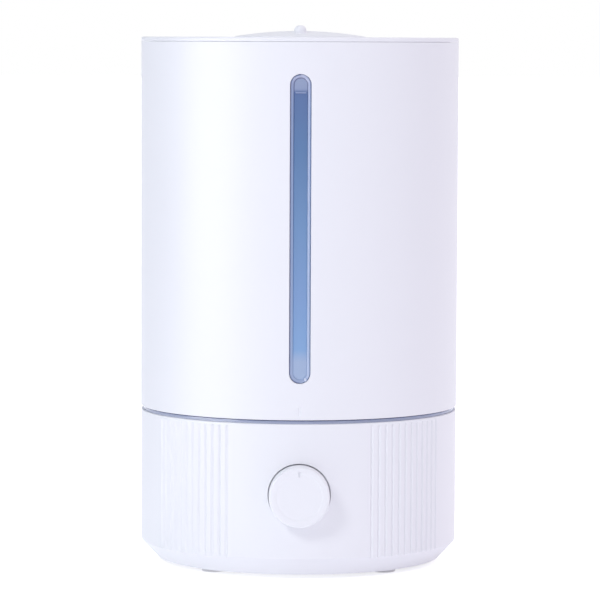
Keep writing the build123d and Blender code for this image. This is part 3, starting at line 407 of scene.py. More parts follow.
def combine(piece, others, operation):
    """Add other solids to a piece or take them away from it, one by one, and throw them away."""
    for other in others:
        step = piece.modifiers.new("combine", "BOOLEAN")
        step.operation = operation
        step.solver = "EXACT"
        step.object = other
        settled(piece)
        bpy.data.objects.remove(other)
    return piece


def carve(piece, *cutters):
    """Cut the cutters out of a piece."""
    return combine(piece, cutters, "DIFFERENCE")


def weld(piece, *added):
    """Join other solids to a piece."""
    return combine(piece, added, "UNION")


def soften(piece, degrees=30.0):
    """Smooth shading that follows the large faces, with a crease where faces meet at a larger angle."""
    piece.data.shade_smooth()
    piece.data.set_sharp_from_angle(angle=math.radians(degrees))
    even = piece.modifiers.new("even_shade", "WEIGHTED_NORMAL")
    even.keep_sharp = True
    return settled(piece)


nodes = frame["nodes"]


def stands_for(piece, *replaced):
    """Ride on the body of the CAD nodes that this piece replaces, and hide them."""
    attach(piece, nodes[replaced[0]]["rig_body"])
    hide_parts(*replaced)
    return piece


def loft(name, loops):
    """Closed solid through loops of points of equal count, capped at both ends."""
    count = len(loops[0])
    verts = [v for loop in loops for v in loop]
    faces = [tuple(range(count)), tuple((len(loops) - 1) * count + i for i in range(count))]
    for level in range(len(loops) - 1):
        for i in range(count):
            j = (i + 1) % count
            here, there = level * count, (level + 1) * count
            faces.append((here + i, here + j, there + j, there + i))
    return mesh_piece(name, verts, faces)


def circle_loop(radius, depth, height, count=96):
    """Circle in an upright plane that faces front or rear; depth gives each point's y from its x."""
    ring = [(radius * math.cos(a), radius * math.sin(a)) for a in even_angles(count)]
    return [(x, depth(x), height + z) for x, z in ring]


def skin_depth(side, over):
    """Depth of the housing's skin at the front (side -1) or rear (side 1), or a little over it, as y
    from x."""
    return lambda x: side * (math.sqrt(base_r ** 2 - x ** 2) + over)


def recess_cutter(name, radius, floor_y, height, side, lip, groove=None):
    """Cutter for a round flat-floored recess in the housing's wall, its edge broken at 45 degrees. Where
    a groove's width and depth are given, it runs round the floor."""
    past = 2 * lip
    low_y = floor_y
    loops = []
    if groove:
        width, depth = groove
        low_y = floor_y - side * depth
        loops.append(circle_loop(radius - width, lambda x: floor_y, height))
        loops.append(circle_loop(radius - width, lambda x: low_y, height))
    loops.append(circle_loop(radius, lambda x: low_y, height))
    loops.append(circle_loop(radius, skin_depth(side, -lip), height))
    loops.append(circle_loop(radius + lip + past, skin_depth(side, past), height))
    return loft(name, loops)


def wall_pad(name, radius, height, side):
    """Round pad that thickens the housing's wall from inside."""
    return loft(name, [
        circle_loop(radius, lambda x: side * pad_back, height),
        circle_loop(radius, skin_depth(side, -base_shell / 2), height),
    ])


def wall_hole(name, radius, height, side):
    """Cutter for a round hole through a pad and the wall."""
    past = 1.0 * mm
    return loft(name, [
        circle_loop(radius, lambda x: side * (pad_back - past), height),
        circle_loop(radius, lambda x: side * (base_r + past), height),
    ])


def flute_tree(material):
    """Geometry nodes that press four groups of upright vee grooves into a turned wall. Each step makes a
    value from one or two others: the nearest groove, how far into it the point is, and its new place."""
    sizes = ["Radius", "Depth", "Half Width", "Over", "Nose", "High", "Bearing", "Pitch", "Flutes"]
    tree = bpy.data.node_groups.new("press_flutes", "GeometryNodeTree")
    tree.interface.new_socket("Geometry", in_out="INPUT", socket_type="NodeSocketGeometry")
    for name in sizes:
        tree.interface.new_socket(name, in_out="INPUT", socket_type="NodeSocketFloat")
    tree.interface.new_socket("Geometry", in_out="OUTPUT", socket_type="NodeSocketGeometry")
    given = add_node(tree, "NodeGroupInput").outputs
    place = add_node(tree, "GeometryNodeInputPosition")
    axes = add_node(tree, "ShaderNodeSeparateXYZ", {0: place.outputs[0]}).outputs
    value = {name: given[name] for name in sizes}
    value.update((name, axes[name]) for name in "XYZ")
    steps = [
        ("across", "ABSOLUTE", "X", 0.0),
        ("along", "ABSOLUTE", "Y", 0.0),
        ("slant", "ARCTAN2", "across", "along"),
        ("slant degrees", "DEGREES", "slant", 0.0),
        ("in group", "SUBTRACT", "slant degrees", "Bearing"),
        ("last", "SUBTRACT", "Flutes", 1.0),
        ("middle", "MULTIPLY", "last", 0.5),
        ("from middle", "DIVIDE", "in group", "Pitch"),
        ("from first", "ADD", "from middle", "middle"),
        ("whole", "ROUND", "from first", 0.0),
        ("not before", "MAXIMUM", "whole", 0.0),
        ("nearest", "MINIMUM", "not before", "last"),
        ("off pitches", "SUBTRACT", "from first", "nearest"),
        ("off degrees", "MULTIPLY", "off pitches", "Pitch"),
        ("off", "RADIANS", "off degrees", 0.0),
        ("arc", "MULTIPLY", "off", "Radius"),
        ("arc squared", "MULTIPLY", "arc", "arc"),
        ("nose squared", "MULTIPLY", "Nose", "Nose"),
        ("eased squared", "ADD", "arc squared", "nose squared"),
        ("eased", "SQRT", "eased squared", 0.0),
        ("spread", "DIVIDE", "eased", "Half Width"),
        ("share", "MINIMUM", "spread", 1.0),
        ("closeness", "SUBTRACT", 1.0, "share"),
        ("deepest", "ADD", "Depth", "Over"),
        ("reach", "MULTIPLY", "deepest", "closeness"),
        ("past high", "SUBTRACT", "Z", "High"),
        ("above", "MAXIMUM", "past high", 0.0),
        ("reach squared", "MULTIPLY", "reach", "reach"),
        ("above squared", "MULTIPLY", "above", "above"),
        ("bite squared", "SUBTRACT", "reach squared", "above squared"),
        ("bite kept", "MAXIMUM", "bite squared", 0.0),
        ("bite", "SQRT", "bite kept", 0.0),
        ("crest", "ADD", "Radius", "Over"),
        ("cut radius", "SUBTRACT", "crest", "bite"),
        ("x squared", "MULTIPLY", "X", "X"),
        ("y squared", "MULTIPLY", "Y", "Y"),
        ("radius squared", "ADD", "x squared", "y squared"),
        ("radius", "SQRT", "radius squared", 0.0),
        ("new radius", "MINIMUM", "radius", "cut radius"),
        ("pull", "DIVIDE", "new radius", "radius"),
        ("new x", "MULTIPLY", "X", "pull"),
        ("new y", "MULTIPLY", "Y", "pull"),
    ]
    for made, operation, first, second in steps:
        sums = add_node(tree, "ShaderNodeMath", {
            0: value.get(first, first), 1: value.get(second, second)}, operation=operation)
        value[made] = sums.outputs[0]
    pressed = add_node(tree, "ShaderNodeCombineXYZ", {
        "X": value["new x"], "Y": value["new y"], "Z": value["Z"]})
    moved = add_node(tree, "GeometryNodeSetPosition", {
        "Geometry": given["Geometry"], "Position": pressed.outputs[0]})
    solid = add_node(tree, "GeometryNodeRealizeInstances", {"Geometry": moved.outputs[0]})
    painted = add_node(tree, "GeometryNodeSetMaterial", {
        "Geometry": solid.outputs[0], "Material": material})
    add_node(tree, "NodeGroupOutput", {"Geometry": painted.outputs[0]})
    return tree


def shape_with(piece, tree, **sizes):
    """Run a geometry node tree on a piece, with its named sizes, and keep the result as plain mesh."""
    shaper = piece.modifiers.new("shaper", "NODES")
    shaper.node_group = tree
    for socket in tree.interface.items_tree:
        key = socket.name.replace(" ", "_").lower()
        if socket.in_out == "INPUT" and key in sizes:
            shaper[socket.identifier] = sizes[key]
    return settled(piece)


white_skin = moulded("white_abs_satin", "#F0F1F5", 0.42, grain_mm=1.1, bump=0.12)
bend_z = base_low.z + chamfer_h
bore_r = base_r - base_shell
inner_bend_z = bend_z + base_shell * math.tan(math.atan2(chamfer_w, chamfer_h) / 2)
ledge_top = cover_seat_z + cover_ledge_t
ledge_root_r = bore_r - (inner_bend_z - ledge_top) * chamfer_w / chamfer_h
housing_outline = rounded([
    (base_r - chamfer_w, base_low.z, foot_round),
    (base_r, bend_z, bend_round),
    (base_r, base_high.z, rim_round),
    (bore_r, base_high.z, bore_round),
    (bore_r, tray_ledge_z, 0),
    (tray_ledge_r, tray_ledge_z, 0),
    (tray_ledge_r, tray_ledge_z - tray_ledge_t, 0),
    (bore_r, tray_ledge_z - tray_ledge_t - (bore_r - tray_ledge_r), 0),
    (bore_r, inner_bend_z, 0),
    (ledge_root_r, ledge_top, 0),
    (cover_seat_r, ledge_top, 0),
    (cover_seat_r, cover_seat_z, 0),
    (cover_r, cover_seat_z, 0),
    (cover_r, base_low.z, edge_round),
])
run_out = flute_d + flute_over
run_out_turns = [math.pi / 2 * i / top_row_steps for i in range(top_row_steps + 1)]
top_rows = [flute_high + run_out * math.sin(turn) for turn in run_out_turns]
foot_rows = [bend_z - foot_rows_below + foot_row_pitch * i for i in range(foot_row_steps + 1)]
outline_rows = []
for here, there in zip(housing_outline, housing_outline[1:] + housing_outline[:1]):
    outline_rows.append(here)
    on_skin = max(here.x, there.x) > base_r - base_shell / 2 and there.y > here.y
    for z in (foot_rows + top_rows if on_skin else []):
        if here.y + row_gap < z < there.y - row_gap:
            share = (z - here.y) / (there.y - here.y)
            outline_rows.append(here.lerp(there, share))
half_flute = math.degrees(flute_w / 2 / base_r)
flute_groups = [90 - flute_bearing, 90 + flute_bearing, 270 - flute_bearing, 270 + flute_bearing]
columns = set()
for group, following in zip(flute_groups, flute_groups[1:] + [flute_groups[0] + 360]):
    for i in range(flute_count):
        centre = group + (i - (flute_count - 1) / 2) * flute_pitch
        columns.update(round(centre + half_flute * c, 4) for c in flute_columns)
    edge = flute_pitch * flute_count / 2
    plain_from, plain_to = group + edge + plain_margin, following - edge - plain_margin
    plain_step = (plain_to - plain_from) / plain_columns
    columns.update(round(plain_from + plain_step * i, 4) for i in range(plain_columns + 1))
housing = turned("housing_shell", outline_rows, [math.radians(c) for c in sorted(columns)], white_skin)
shape_with(housing, flute_tree(white_skin), radius=base_r, depth=flute_d, over=flute_over,
           nose=flute_nose, half_width=flute_w / 2 * run_out / flute_d, high=flute_high,
           bearing=flute_bearing, pitch=flute_pitch, flutes=float(flute_count))
weld(housing,
     wall_pad("dial_pad", dial_pad_r, dial_z, -1),
     wall_pad("jack_pad", jack_pad_r, jack_z, 1))
carve(housing,
      turned("tray_room", [(0, tray_room_z), (tray_ledge_r, tray_room_z), (tray_ledge_r, tray_room_top),
                           (0, tray_room_top)], even_angles(tray_room_columns)),
      recess_cutter("well_cutter", well_r, well_floor, dial_z, -1, well_lip, well_groove),
      wall_hole("bush_cutter", bush_hole_r, dial_z, -1),
      recess_cutter("jack_cutter", jack_recess_r, jack_seat, jack_z, 1, jack_lip),
      wall_hole("jack_hole_cutter", jack_hole_r, jack_z, 1))
soften(housing, shell_crease)
stands_for(housing, "base_housing")

# Bottom cover, its feet and screws: a matt white polypropylene disc with the air grille, held by four
# zinc plated screws. Four pale soft feet are glued into its recesses.
line_length = 30


def smooth_copy(name, material, degrees=30.0):
    """Copy of a CAD node with its triangles joined and shaded smooth."""
    mesh = nodes[name].data.copy()
    work = bmesh.new()
    work.from_mesh(mesh)
    bmesh.ops.remove_doubles(work, verts=work.verts, dist=merge_gap)
    work.to_mesh(mesh)
    work.free()
    if "custom_normal" in mesh.attributes:
        mesh.attributes.remove(mesh.attributes["custom_normal"])
    mesh.materials.clear()
    mesh.materials.append(material)
    piece = bpy.data.objects.new(name + "_finish", mesh)
    scene.collection.objects.link(piece)
    return soften(piece, degrees)


def dressed(name, material):
    """Smooth copy of a CAD node in its material, standing for that node."""
    return stands_for(smooth_copy(name, material), name)


def metal(name, color, roughness, brush_mm, along):
    """Bare or plated metal, with fine drawing lines along one axis that break up its gloss."""
    material, tree, place = new_material(name)
    stretch = [1000 / brush_mm / (line_length if axis == along else 1) for axis in "XYZ"]
    drawn = add_node(tree, "ShaderNodeMapping", {"Vector": place, "Scale": stretch})
    lines = add_node(tree, "ShaderNodeTexNoise", {"Vector": drawn.outputs[0], "Scale": 1.0, "Detail": 3.0})
    gloss = add_node(tree, "ShaderNodeMapRange", {
        "Value": lines.outputs["Fac"], "To Min": roughness - 0.08, "To Max": roughness + 0.1})
    tone = add_node(tree, "ShaderNodeMix", {
        0: lines.outputs["Fac"], 6: linear(color), 7: shade(color, 0.82)}, data_type="RGBA")
    skin = add_node(tree, "ShaderNodeBump", {
        "Strength": 0.15, "Distance": 0.02 * mm, "Height": lines.outputs["Fac"]})
    surface = add_node(tree, "ShaderNodeBsdfPrincipled", {
        "Base Color": tone.outputs[2], "Metallic": 1.0, "Roughness": gloss.outputs[0],
        "Normal": skin.outputs[0]})
    add_node(tree, "ShaderNodeOutputMaterial", {"Surface": surface.outputs[0]})
    return material


# Polypropylene is duller and a little greyer than the shell's skin, the feet's soft elastomer has
# hardly any highlight, and zinc plating gives the screws small cool glints.
matt_white = moulded("white_polypropylene_matt", "#E6E8EE", 0.55, grain_mm=0.9, bump=0.2)
pale_rubber = moulded("pale_elastomer_feet", "#FAFAFC", 0.72, grain_mm=1.4, bump=0.35)
zinc = metal("zinc_plated_steel", "#B4B7BC", 0.34, brush_mm=0.5, along="Z")
dressed("bottom_cover", matt_white)
dressed("rubber_feet", pale_rubber)
dressed("case_screws", zinc)

# Mist maker: a plated piezo disc in a grey rubber ring, pressed up against the mist well by a
# plate and three screws. The well, the tray and the air riser are matt white mouldings.


def finish(material, *names):
    """Give CAD nodes that stay as they are their material."""
    for name in names:
        nodes[name].data.materials.clear()
        nodes[name].data.materials.append(material)


# Nitrile rubber is a dull dark grey, silicone is milky with a soft sheen, and the disc's plating has
# a pale warm gleam.
grey_rubber = moulded("grey_nitrile_rubber", "#6B6D72", 0.78, grain_mm=1.2, bump=0.3)
silicone = moulded("milky_silicone", "#D4D8DE", 0.5, grain_mm=1.5, bump=0.15)
plated = metal("plated_piezo_ceramic", "#C9C2A4", 0.28, brush_mm=0.8, along="X")
dressed("water_tray", matt_white)
dressed("mist_well", matt_white)
dressed("air_riser", matt_white)
dressed("tray_gasket", silicone)
dressed("transducer_disc", plated)
dressed("transducer_gasket", grey_rubber)
finish(matt_white, "transducer_retainer")
finish(zinc, "retainer_screws")

# Float switch: a hollow white float that slides on the tray's post, with a ferrite ring in it,
# under a cap that stops it, and a glass reed switch clipped below the tray. The sintered ferrite is
# nearly black and grainy, without gloss.
ferrite = moulded("sintered_ferrite", "#37383C", 0.62, grain_mm=0.8, bump=0.4)


def glass(name, color, ripple_mm):
    """Clear glass tube with a faint tint and a few draw marks that ripple its gloss."""
    material, tree, place = new_material(name)
    ripple = add_node(tree, "ShaderNodeTexNoise", {"Vector": place, "Scale": 1000 / ripple_mm})
    gloss = add_node(tree, "ShaderNodeMapRange", {
        "Value": ripple.outputs["Fac"], "To Min": 0.02, "To Max": 0.08})
    surface = add_node(tree, "ShaderNodeBsdfPrincipled", {
        "Base Color": linear(color), "Roughness": gloss.outputs[0], "IOR": 1.5,
        "Transmission Weight": 0.9})
    add_node(tree, "ShaderNodeOutputMaterial", {"Surface": surface.outputs[0]})
    return material


dressed("float", matt_white)
dressed("float_cap", matt_white)
dressed("float_magnet", ferrite)
finish(glass("reed_glass", "#D8E4DA", ripple_mm=3.0), "reed_switch")

# Fan: a black moulded frame on four posts of the cover, with its rotor and steel shaft, a foam
# filter under it and a white duct above it. The black ABS is matt, with only a faint sheen.
black_abs = moulded("black_abs_matt", "#1B1C1F", 0.5, grain_mm=0.8, bump=0.3)


def open_foam(name, color, cell_mm):
    """Open cell foam: a grey web round pores painted dark, the painted shade inside them."""
    material, tree, place = new_material(name)
    cells = add_node(tree, "ShaderNodeTexVoronoi", {"Vector": place, "Scale": 1000 / cell_mm})
    web = add_node(tree, "ShaderNodeMapRange", {
        "Value": cells.outputs["Distance"], "From Min": 0.15, "From Max": 0.6})
    # Painted shade darkens the pores.
    tone = add_node(tree, "ShaderNodeMix", {
        0: web.outputs[0], 6: shade(color, 0.25), 7: linear(color)}, data_type="RGBA")
    skin = add_node(tree, "ShaderNodeBump", {
        "Strength": 0.8, "Distance": 0.4 * mm, "Height": web.outputs[0]})
    surface = add_node(tree, "ShaderNodeBsdfPrincipled", {
        "Base Color": tone.outputs[2], "Roughness": 0.9, "Normal": skin.outputs[0]})
    add_node(tree, "ShaderNodeOutputMaterial", {"Surface": surface.outputs[0]})
    return material


dressed("fan_frame", black_abs)
dressed("fan_rotor", black_abs)
dressed("intake_filter", open_foam("open_cell_foam", "#4C4F54", cell_mm=1.0))
dressed("air_duct", matt_white)
finish(zinc, "fan_screws", "fan_shaft")

# Driver board: a green glass fibre board with the mist maker's power stage: an aluminium heat sink
# with its transistor, three capacitors, a copper choke, chips and plugs, on four small screws. Short
# leads run from it to the fan, the mist maker, the dial's board and the power inlet.
tracks_in_patch = 6.0
wave_radians = 20


def solder_mask(name, color, track_mm):
    """Green lacquer over copper tracks: square-cornered lighter paths on a darker ground."""
    material, tree, place = new_material(name)
    maze = add_node(tree, "ShaderNodeTexVoronoi", {
        "Vector": place, "Scale": 1000 / (track_mm * tracks_in_patch)}, distance="CHEBYCHEV", feature="F2")
    bands = add_node(tree, "ShaderNodeMath", {
        0: maze.outputs["Distance"], 1: tracks_in_patch}, operation="MULTIPLY")
    stripe = add_node(tree, "ShaderNodeMath", {0: bands.outputs[0], 1: 1.0}, operation="PINGPONG")
    track = add_node(tree, "ShaderNodeMapRange", {
        "Value": stripe.outputs[0], "From Min": 0.5, "From Max": 0.6})
    tone = add_node(tree, "ShaderNodeMix", {
        0: track.outputs[0], 6: linear(color), 7: shade(color, 1.9)}, data_type="RGBA")
    skin = add_node(tree, "ShaderNodeBump", {
        "Strength": 0.4, "Distance": 0.05 * mm, "Height": track.outputs[0]})
    surface = add_node(tree, "ShaderNodeBsdfPrincipled", {
        "Base Color": tone.outputs[2], "Roughness": 0.35, "Normal": skin.outputs[0]})
    add_node(tree, "ShaderNodeOutputMaterial", {"Surface": surface.outputs[0]})
    return material


def wound_wire(name, color, wire_mm):
    """Enamelled copper wire wound in level turns: fine bands of painted light and shade along the coil's
    axis, one to each turn. A wave texture runs through 20 radians in each unit, which its scale makes up
    for."""
    material, tree, place = new_material(name)
    turns = add_node(tree, "ShaderNodeTexWave", {
        "Vector": place, "Scale": 2 * math.pi / wave_radians * 1000 / wire_mm,
        "Distortion": 0.4}, bands_direction="Z")
    # Painted shade between the turns and painted light on their crests.
    tone = add_node(tree, "ShaderNodeMix", {
        0: turns.outputs["Fac"], 6: shade(color, 0.4), 7: linear(color)}, data_type="RGBA")
    skin = add_node(tree, "ShaderNodeBump", {
        "Strength": 0.7, "Distance": 0.2 * mm, "Height": turns.outputs["Fac"]})
    surface = add_node(tree, "ShaderNodeBsdfPrincipled", {
        "Base Color": tone.outputs[2], "Metallic": 0.7, "Roughness": 0.35, "Normal": skin.outputs[0]})
    add_node(tree, "ShaderNodeOutputMaterial", {"Surface": surface.outputs[0]})
    return material


# Natural nylon is a waxy ivory, extruded aluminium a pale grey with lines along its fins, the shrink
# sleeve a glossy dark blue, and the leads' vinyl black with a soft sheen.
green_mask = solder_mask("green_solder_mask", "#1F5A38", track_mm=0.8)
nylon = moulded("natural_nylon", "#DEDBD0", 0.48, grain_mm=1.0, bump=0.2)
finish(green_mask, "driver_board", "control_board")
finish(zinc, "board_screws")
finish(metal("extruded_aluminium", "#B9BCC0", 0.4, brush_mm=0.5, along="Z"), "heatsink")
finish(black_abs, "power_transistor", "driver_chips")
finish(moulded("capacitor_shrink_sleeve", "#1C2748", 0.3, grain_mm=1.0, bump=0.1), "capacitors")
finish(wound_wire("enamelled_copper_wire", "#B4683A", wire_mm=0.6), "inductor_coil")
finish(nylon, "board_connectors")
finish(moulded("lead_jacket_vinyl", "#26272B", 0.45, grain_mm=0.8, bump=0.2),
       "fan_lead", "transducer_lead", "control_lead", "power_lead")

# Dial: a white moulded cap pushed onto the flat of the potentiometer's shaft, which comes through
# the housing's well. Its face is sunk a little, with a short pointer slot at the top.
knob_back = -knob_high.y
knob_face = -knob_low.y
knob_wall = 2.4 * mm
knob_round = 1.5 * mm
knob_columns = 128
fine_round = 0.2 * mm
pocket_round = 0.5 * mm
hub_r = 6.0 * mm
hub_back = 97.6 * mm
shaft_bore_r = 3.05 * mm
shaft_end = 105.05 * mm
face_r = 13.4 * mm
face_d = 0.3 * mm
face_slope = 1.0 * mm
face_ease = 1.5 * mm
pointer_l = 3.4 * mm
pointer_w = 1.3 * mm
pointer_d = 1.15 * mm
pointer_past = 2.0 * mm
pointer_z = dial_z + face_r + 0.5 * mm


def upright_slot(half_width, half_length, steps=20):
    """Points (x, z) round an upright slot with half-round ends."""
    straight = half_length - half_width
    ends = [(math.pi * i / steps, straight) for i in range(steps + 1)]
    ends += [(math.pi + math.pi * i / steps, -straight) for i in range(steps + 1)]
    return [(half_width * math.cos(a), half_width * math.sin(a) + off) for a, off in ends]


def slot_loop(half_width, half_length, mid_z, depth):
    """Slot outline at a height in front of the axis; depth gives each point's y from its x."""
    return [(x, depth(x), mid_z + z) for x, z in upright_slot(half_width, half_length)]


knob_outline = rounded([
    (0, knob_face - face_d, 0),
    (0, shaft_end, 0),
    (shaft_bore_r, shaft_end, 0),
    (shaft_bore_r, hub_back, fine_round),
    (hub_r, hub_back, edge_round),
    (hub_r, knob_face - knob_wall, edge_round),
    (dial_r - knob_wall, knob_face - knob_wall, pocket_round),
    (dial_r - knob_wall, knob_back, fine_round),
    (dial_r, knob_back, edge_round),
    (dial_r, knob_face, knob_round),
    (face_r + face_slope, knob_face, face_ease),
    (face_r, knob_face - face_d, face_ease),
])
knob = turned("dial_cap", knob_outline, even_angles(knob_columns), white_skin)
knob.data.transform(Matrix.Translation((0, 0, dial_z)) @ Matrix.Rotation(math.pi / 2, 4, "X"))
carve(knob, loft("pointer_cutter", [
    slot_loop(pointer_w / 2, pointer_l / 2, pointer_z, lambda x: pointer_d - knob_face),
    slot_loop(pointer_w / 2, pointer_l / 2, pointer_z, lambda x: -knob_face - pointer_past),
]))
soften(knob)
stands_for(knob, "knob")
finish(zinc, "potentiometer", "pot_nut")
finish(nylon, "pot_shaft")

# Power inlet: a black barrel jack in a recess at the rear, held by a nickel plated nut, with a
# thin brass pin in its middle. The nickel is bright and a little warm, the brass a soft yellow.
nickel = metal("nickel_plated_brass", "#C6C4BC", 0.25, brush_mm=0.4, along="Y")
brass = metal("turned_brass", "#C9A45C", 0.3, brush_mm=0.4, along="Y")
dressed("dc_jack", black_abs)
dressed("dc_jack_nut", nickel)
dressed("dc_jack_pin", brass)

# Water tank: wall, floor and mist tube of blue clear plastic, welded and clamped together. The foot
# of the wall shows as a thin blue ring between the base and the sleeve.
ring_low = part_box("inner_tank")[0].z
ring_high = ring_low + 2.9 * mm
ring_edge = ring_low + 0.1 * mm
ring_foot = base_high.z + 0.05 * mm
# The ring's tint by height, with a band of painted shade under the sleeve's edge.
ring_shade_hues = [(0.0, "#C4CDE8"), (0.45, "#B7C1E0"), (0.53, "#6A7498"), (0.76, "#5C668C"), (0.85, "#BCC6E4")]


def clear_san(name, color, roughness, clear, haze_mm=35.0):
    """Tinted clear styrene plastic, polished in the mould: see-through, with a faint flow haze."""
    material, tree, place = new_material(name)
    haze = add_node(tree, "ShaderNodeTexNoise", {"Vector": place, "Scale": 1000 / haze_mm, "Detail": 3.0})
    gloss = add_node(tree, "ShaderNodeMapRange", {
        "Value": haze.outputs["Fac"], "To Min": roughness - gloss_dip, "To Max": roughness + gloss_rise})
    tone = add_node(tree, "ShaderNodeMix", {
        0: haze.outputs["Fac"], 6: linear(color), 7: shade(color, 1.06)}, data_type="RGBA")
    surface = add_node(tree, "ShaderNodeBsdfPrincipled", {
        "Base Color": tone.outputs[2], "Roughness": gloss.outputs[0], "IOR": 1.57,
        "Transmission Weight": clear})
    add_node(tree, "ShaderNodeOutputMaterial", {"Surface": surface.outputs[0]})
    return material


def tall_san(name, hues, low, high, roughness, clear, haze_mm=18.0):
    """Clear styrene plastic whose tint changes with height, painted to show the light behind it and the
    shade that falls on it. Polished, with a faint flow haze."""
    material, tree, place = new_material(name)
    height = add_node(tree, "ShaderNodeMapRange", {
        "Value": add_node(tree, "ShaderNodeSeparateXYZ", {0: place}).outputs["Z"],
        "From Min": low, "From Max": high})
    ramp = add_node(tree, "ShaderNodeValToRGB", {"Fac": height.outputs[0]})
    stops = ramp.color_ramp.elements
    while len(stops) < len(hues):
        stops.new(0.5)
    for stop, (at, color) in zip(stops, hues):
        stop.position = at
        stop.color = linear(color)
    haze = add_node(tree, "ShaderNodeTexNoise", {"Vector": place, "Scale": 1000 / haze_mm, "Detail": 2.0})
    gloss = add_node(tree, "ShaderNodeMapRange", {
        "Value": haze.outputs["Fac"], "To Min": roughness - gloss_dip, "To Max": roughness + gloss_rise})
    surface = add_node(tree, "ShaderNodeBsdfPrincipled", {
        "Base Color": ramp.outputs["Color"], "Roughness": gloss.outputs[0], "IOR": 1.57,
        "Transmission Weight": clear})
    add_node(tree, "ShaderNodeOutputMaterial", {"Surface": surface.outputs[0]})
    return material


# Clear blue styrene has a pale tint all through, and the ring a band of painted shade in its upper half,
# where the sleeve's edge shades it.
blue_clear = clear_san("blue_clear_san", "#BCC6E4", 0.14, 0.35)
blue_ring = tall_san("blue_ring_san", ring_shade_hues, ring_low, ring_high, 0.14, 0.35)
tank_wall = dressed("inner_tank", blue_ring)
for vertex in tank_wall.data.vertices:
    if vertex.co.z < ring_edge:
        vertex.co.z = ring_foot
dressed("tank_floor", blue_clear)
dressed("mist_tube", blue_clear)
dressed("mist_tube_seal", silicone)
dressed("mist_tube_nut", matt_white)

# Sleeve: the tank's white outer skin, moulded in the same satin white as the base and pushed over
# the blue wall. A tall slot holds the level window, and a small mark is engraved under it.
sleeve_low, sleeve_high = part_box("outer_sleeve")
sleeve_r = sleeve_high.x
sleeve_bore_r = 95.6 * mm
sleeve_lip_r = 93.2 * mm
sleeve_lip_low = sleeve_high.z - 1.7 * mm
lens_low, lens_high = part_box("window_lens")
lens_clear = 0.1 * mm
slot_mid = (lens_low.z + lens_high.z) / 2
slot_half_l = (lens_high.z - lens_low.z) / 2 + lens_clear
slot_half_w = lens_high.x + lens_clear
slot_lip = 0.3 * mm
slot_past = 2.4 * slot_lip
sleeve_foot_round = 0.4 * mm
wall_columns = 240
mark_z = 102.3 * mm
mark_half_w = 1.0 * mm
mark_half_h = 2.7 * mm
mark_d = 0.6 * mm
mark_slope = 0.45 * mm
mark_round = 0.3 * mm


def round_wall(radius):
    """Depth of the front of a cylinder of this radius, as y from x."""
    return lambda x: -math.sqrt(radius ** 2 - x ** 2)


sleeve_outline = rounded([
    (sleeve_bore_r, sleeve_low.z, edge_round),
    (sleeve_r, sleeve_low.z, sleeve_foot_round),
    (sleeve_r, sleeve_high.z, edge_round),
    (sleeve_lip_r, sleeve_high.z, edge_round),
    (sleeve_lip_r, sleeve_lip_low, 0),
    (sleeve_bore_r, sleeve_lip_low, 0),
])
sleeve = turned("sleeve_shell", sleeve_outline, even_angles(wall_columns), white_skin)
slot_flare = [(0.0, sleeve_lip_r)]
for degrees in (0, 15, 30, 45, 60):
    angle = math.radians(degrees)
    slot_flare.append((slot_lip * (1 - math.cos(angle)), sleeve_r - slot_lip * (1 - math.sin(angle))))
slot_flare.append((slot_past, sleeve_r + slot_lip))
slot_loops = [slot_loop(slot_half_w + grow, slot_half_l + grow, slot_mid, round_wall(radius))
              for grow, radius in slot_flare]


def oblong(half_w, half_h, corner):
    """Points (x, z) round an oblong with rounded corners."""
    return rounded([(-half_w, -half_h, corner), (half_w, -half_h, corner),
                    (half_w, half_h, corner), (-half_w, half_h, corner)])


def mark_loop(grow, out):
    """Rounded oblong of the mark, grown on all sides, at a distance out of the sleeve's skin."""
    skin = round_wall(sleeve_r + out)
    points = oblong(mark_half_w + grow, mark_half_h + grow, mark_round)
    return [(x, skin(x), mark_z + z) for x, z in points]


mark_loops = [mark_loop(-mark_slope, -mark_d), mark_loop(mark_slope, mark_d)]
carve(sleeve, loft("slot_cutter", slot_loops), loft("mark_cutter", mark_loops))
soften(sleeve, shell_crease)
stands_for(sleeve, "outer_sleeve")

# Level window: a strip of blue clear plastic glued into the sleeve's slot. Its rim is rounded, with
# painted shade on its left half and painted light on its right, a bevel leads down to a sunk channel,
# and a bar across it marks a full tank.
lens_inner_r = 95.4 * mm
lens_outer_r = 97.5 * mm
channel_y = -96.2 * mm
channel_half_w = 3.8 * mm
lens_half_w = lens_high.x
lens_half_l = slot_half_l - lens_clear
crest_in = 0.8 * mm
crest_half_w = lens_half_w - crest_in
rim_profile = [(0.0, 0.75 * mm), (0.2 * mm, 0.35 * mm), (0.5 * mm, 0.1 * mm), (crest_in, 0.0)]
step_half_w = channel_half_w + 0.5 * mm
step_y = channel_y - 0.6 * mm
window_crease = 20.0
full_mark_z = 291.9 * mm
full_mark_half_h = 0.4 * mm
full_mark_half_w = 3.2 * mm
full_mark_round = 0.3 * mm
full_mark_root = 0.3 * mm
full_mark_out = 0.6 * mm
full_mark_ease = 0.2 * mm
full_mark_taper = 0.8
# Painted light and shade by height: light behind the channel, a glint on the bevel, shade on the step.
channel_light_hues = [
    (0.0, "#A9BDDC"), (0.07, "#A6BBDB"), (0.11, "#86ADDB"), (0.28, "#7FA2D2"), (0.5, "#7096C4"),
    (0.76, "#5A80B0"), (0.941, "#5874A6"), (0.952, "#95A4C6"), (1.0, "#9DABCA"),
]
bevel_light_hues = [
    (0.0, "#A8B8D8"), (0.08, "#9DB2D4"), (0.4, "#97ACD0"), (0.9, "#8EA3CB"), (0.97, "#98A6CA"),
    (1.0, "#BCC2DA"),
]
step_shade_hues = [
    (0.0, "#9BAFD2"), (0.07, "#98ADD1"), (0.11, "#799DCB"), (0.5, "#6384B3"), (0.76, "#4E6C9C"),
    (0.93, "#4C6292"), (0.965, "#6E789C"), (1.0, "#6E6F90"),
]
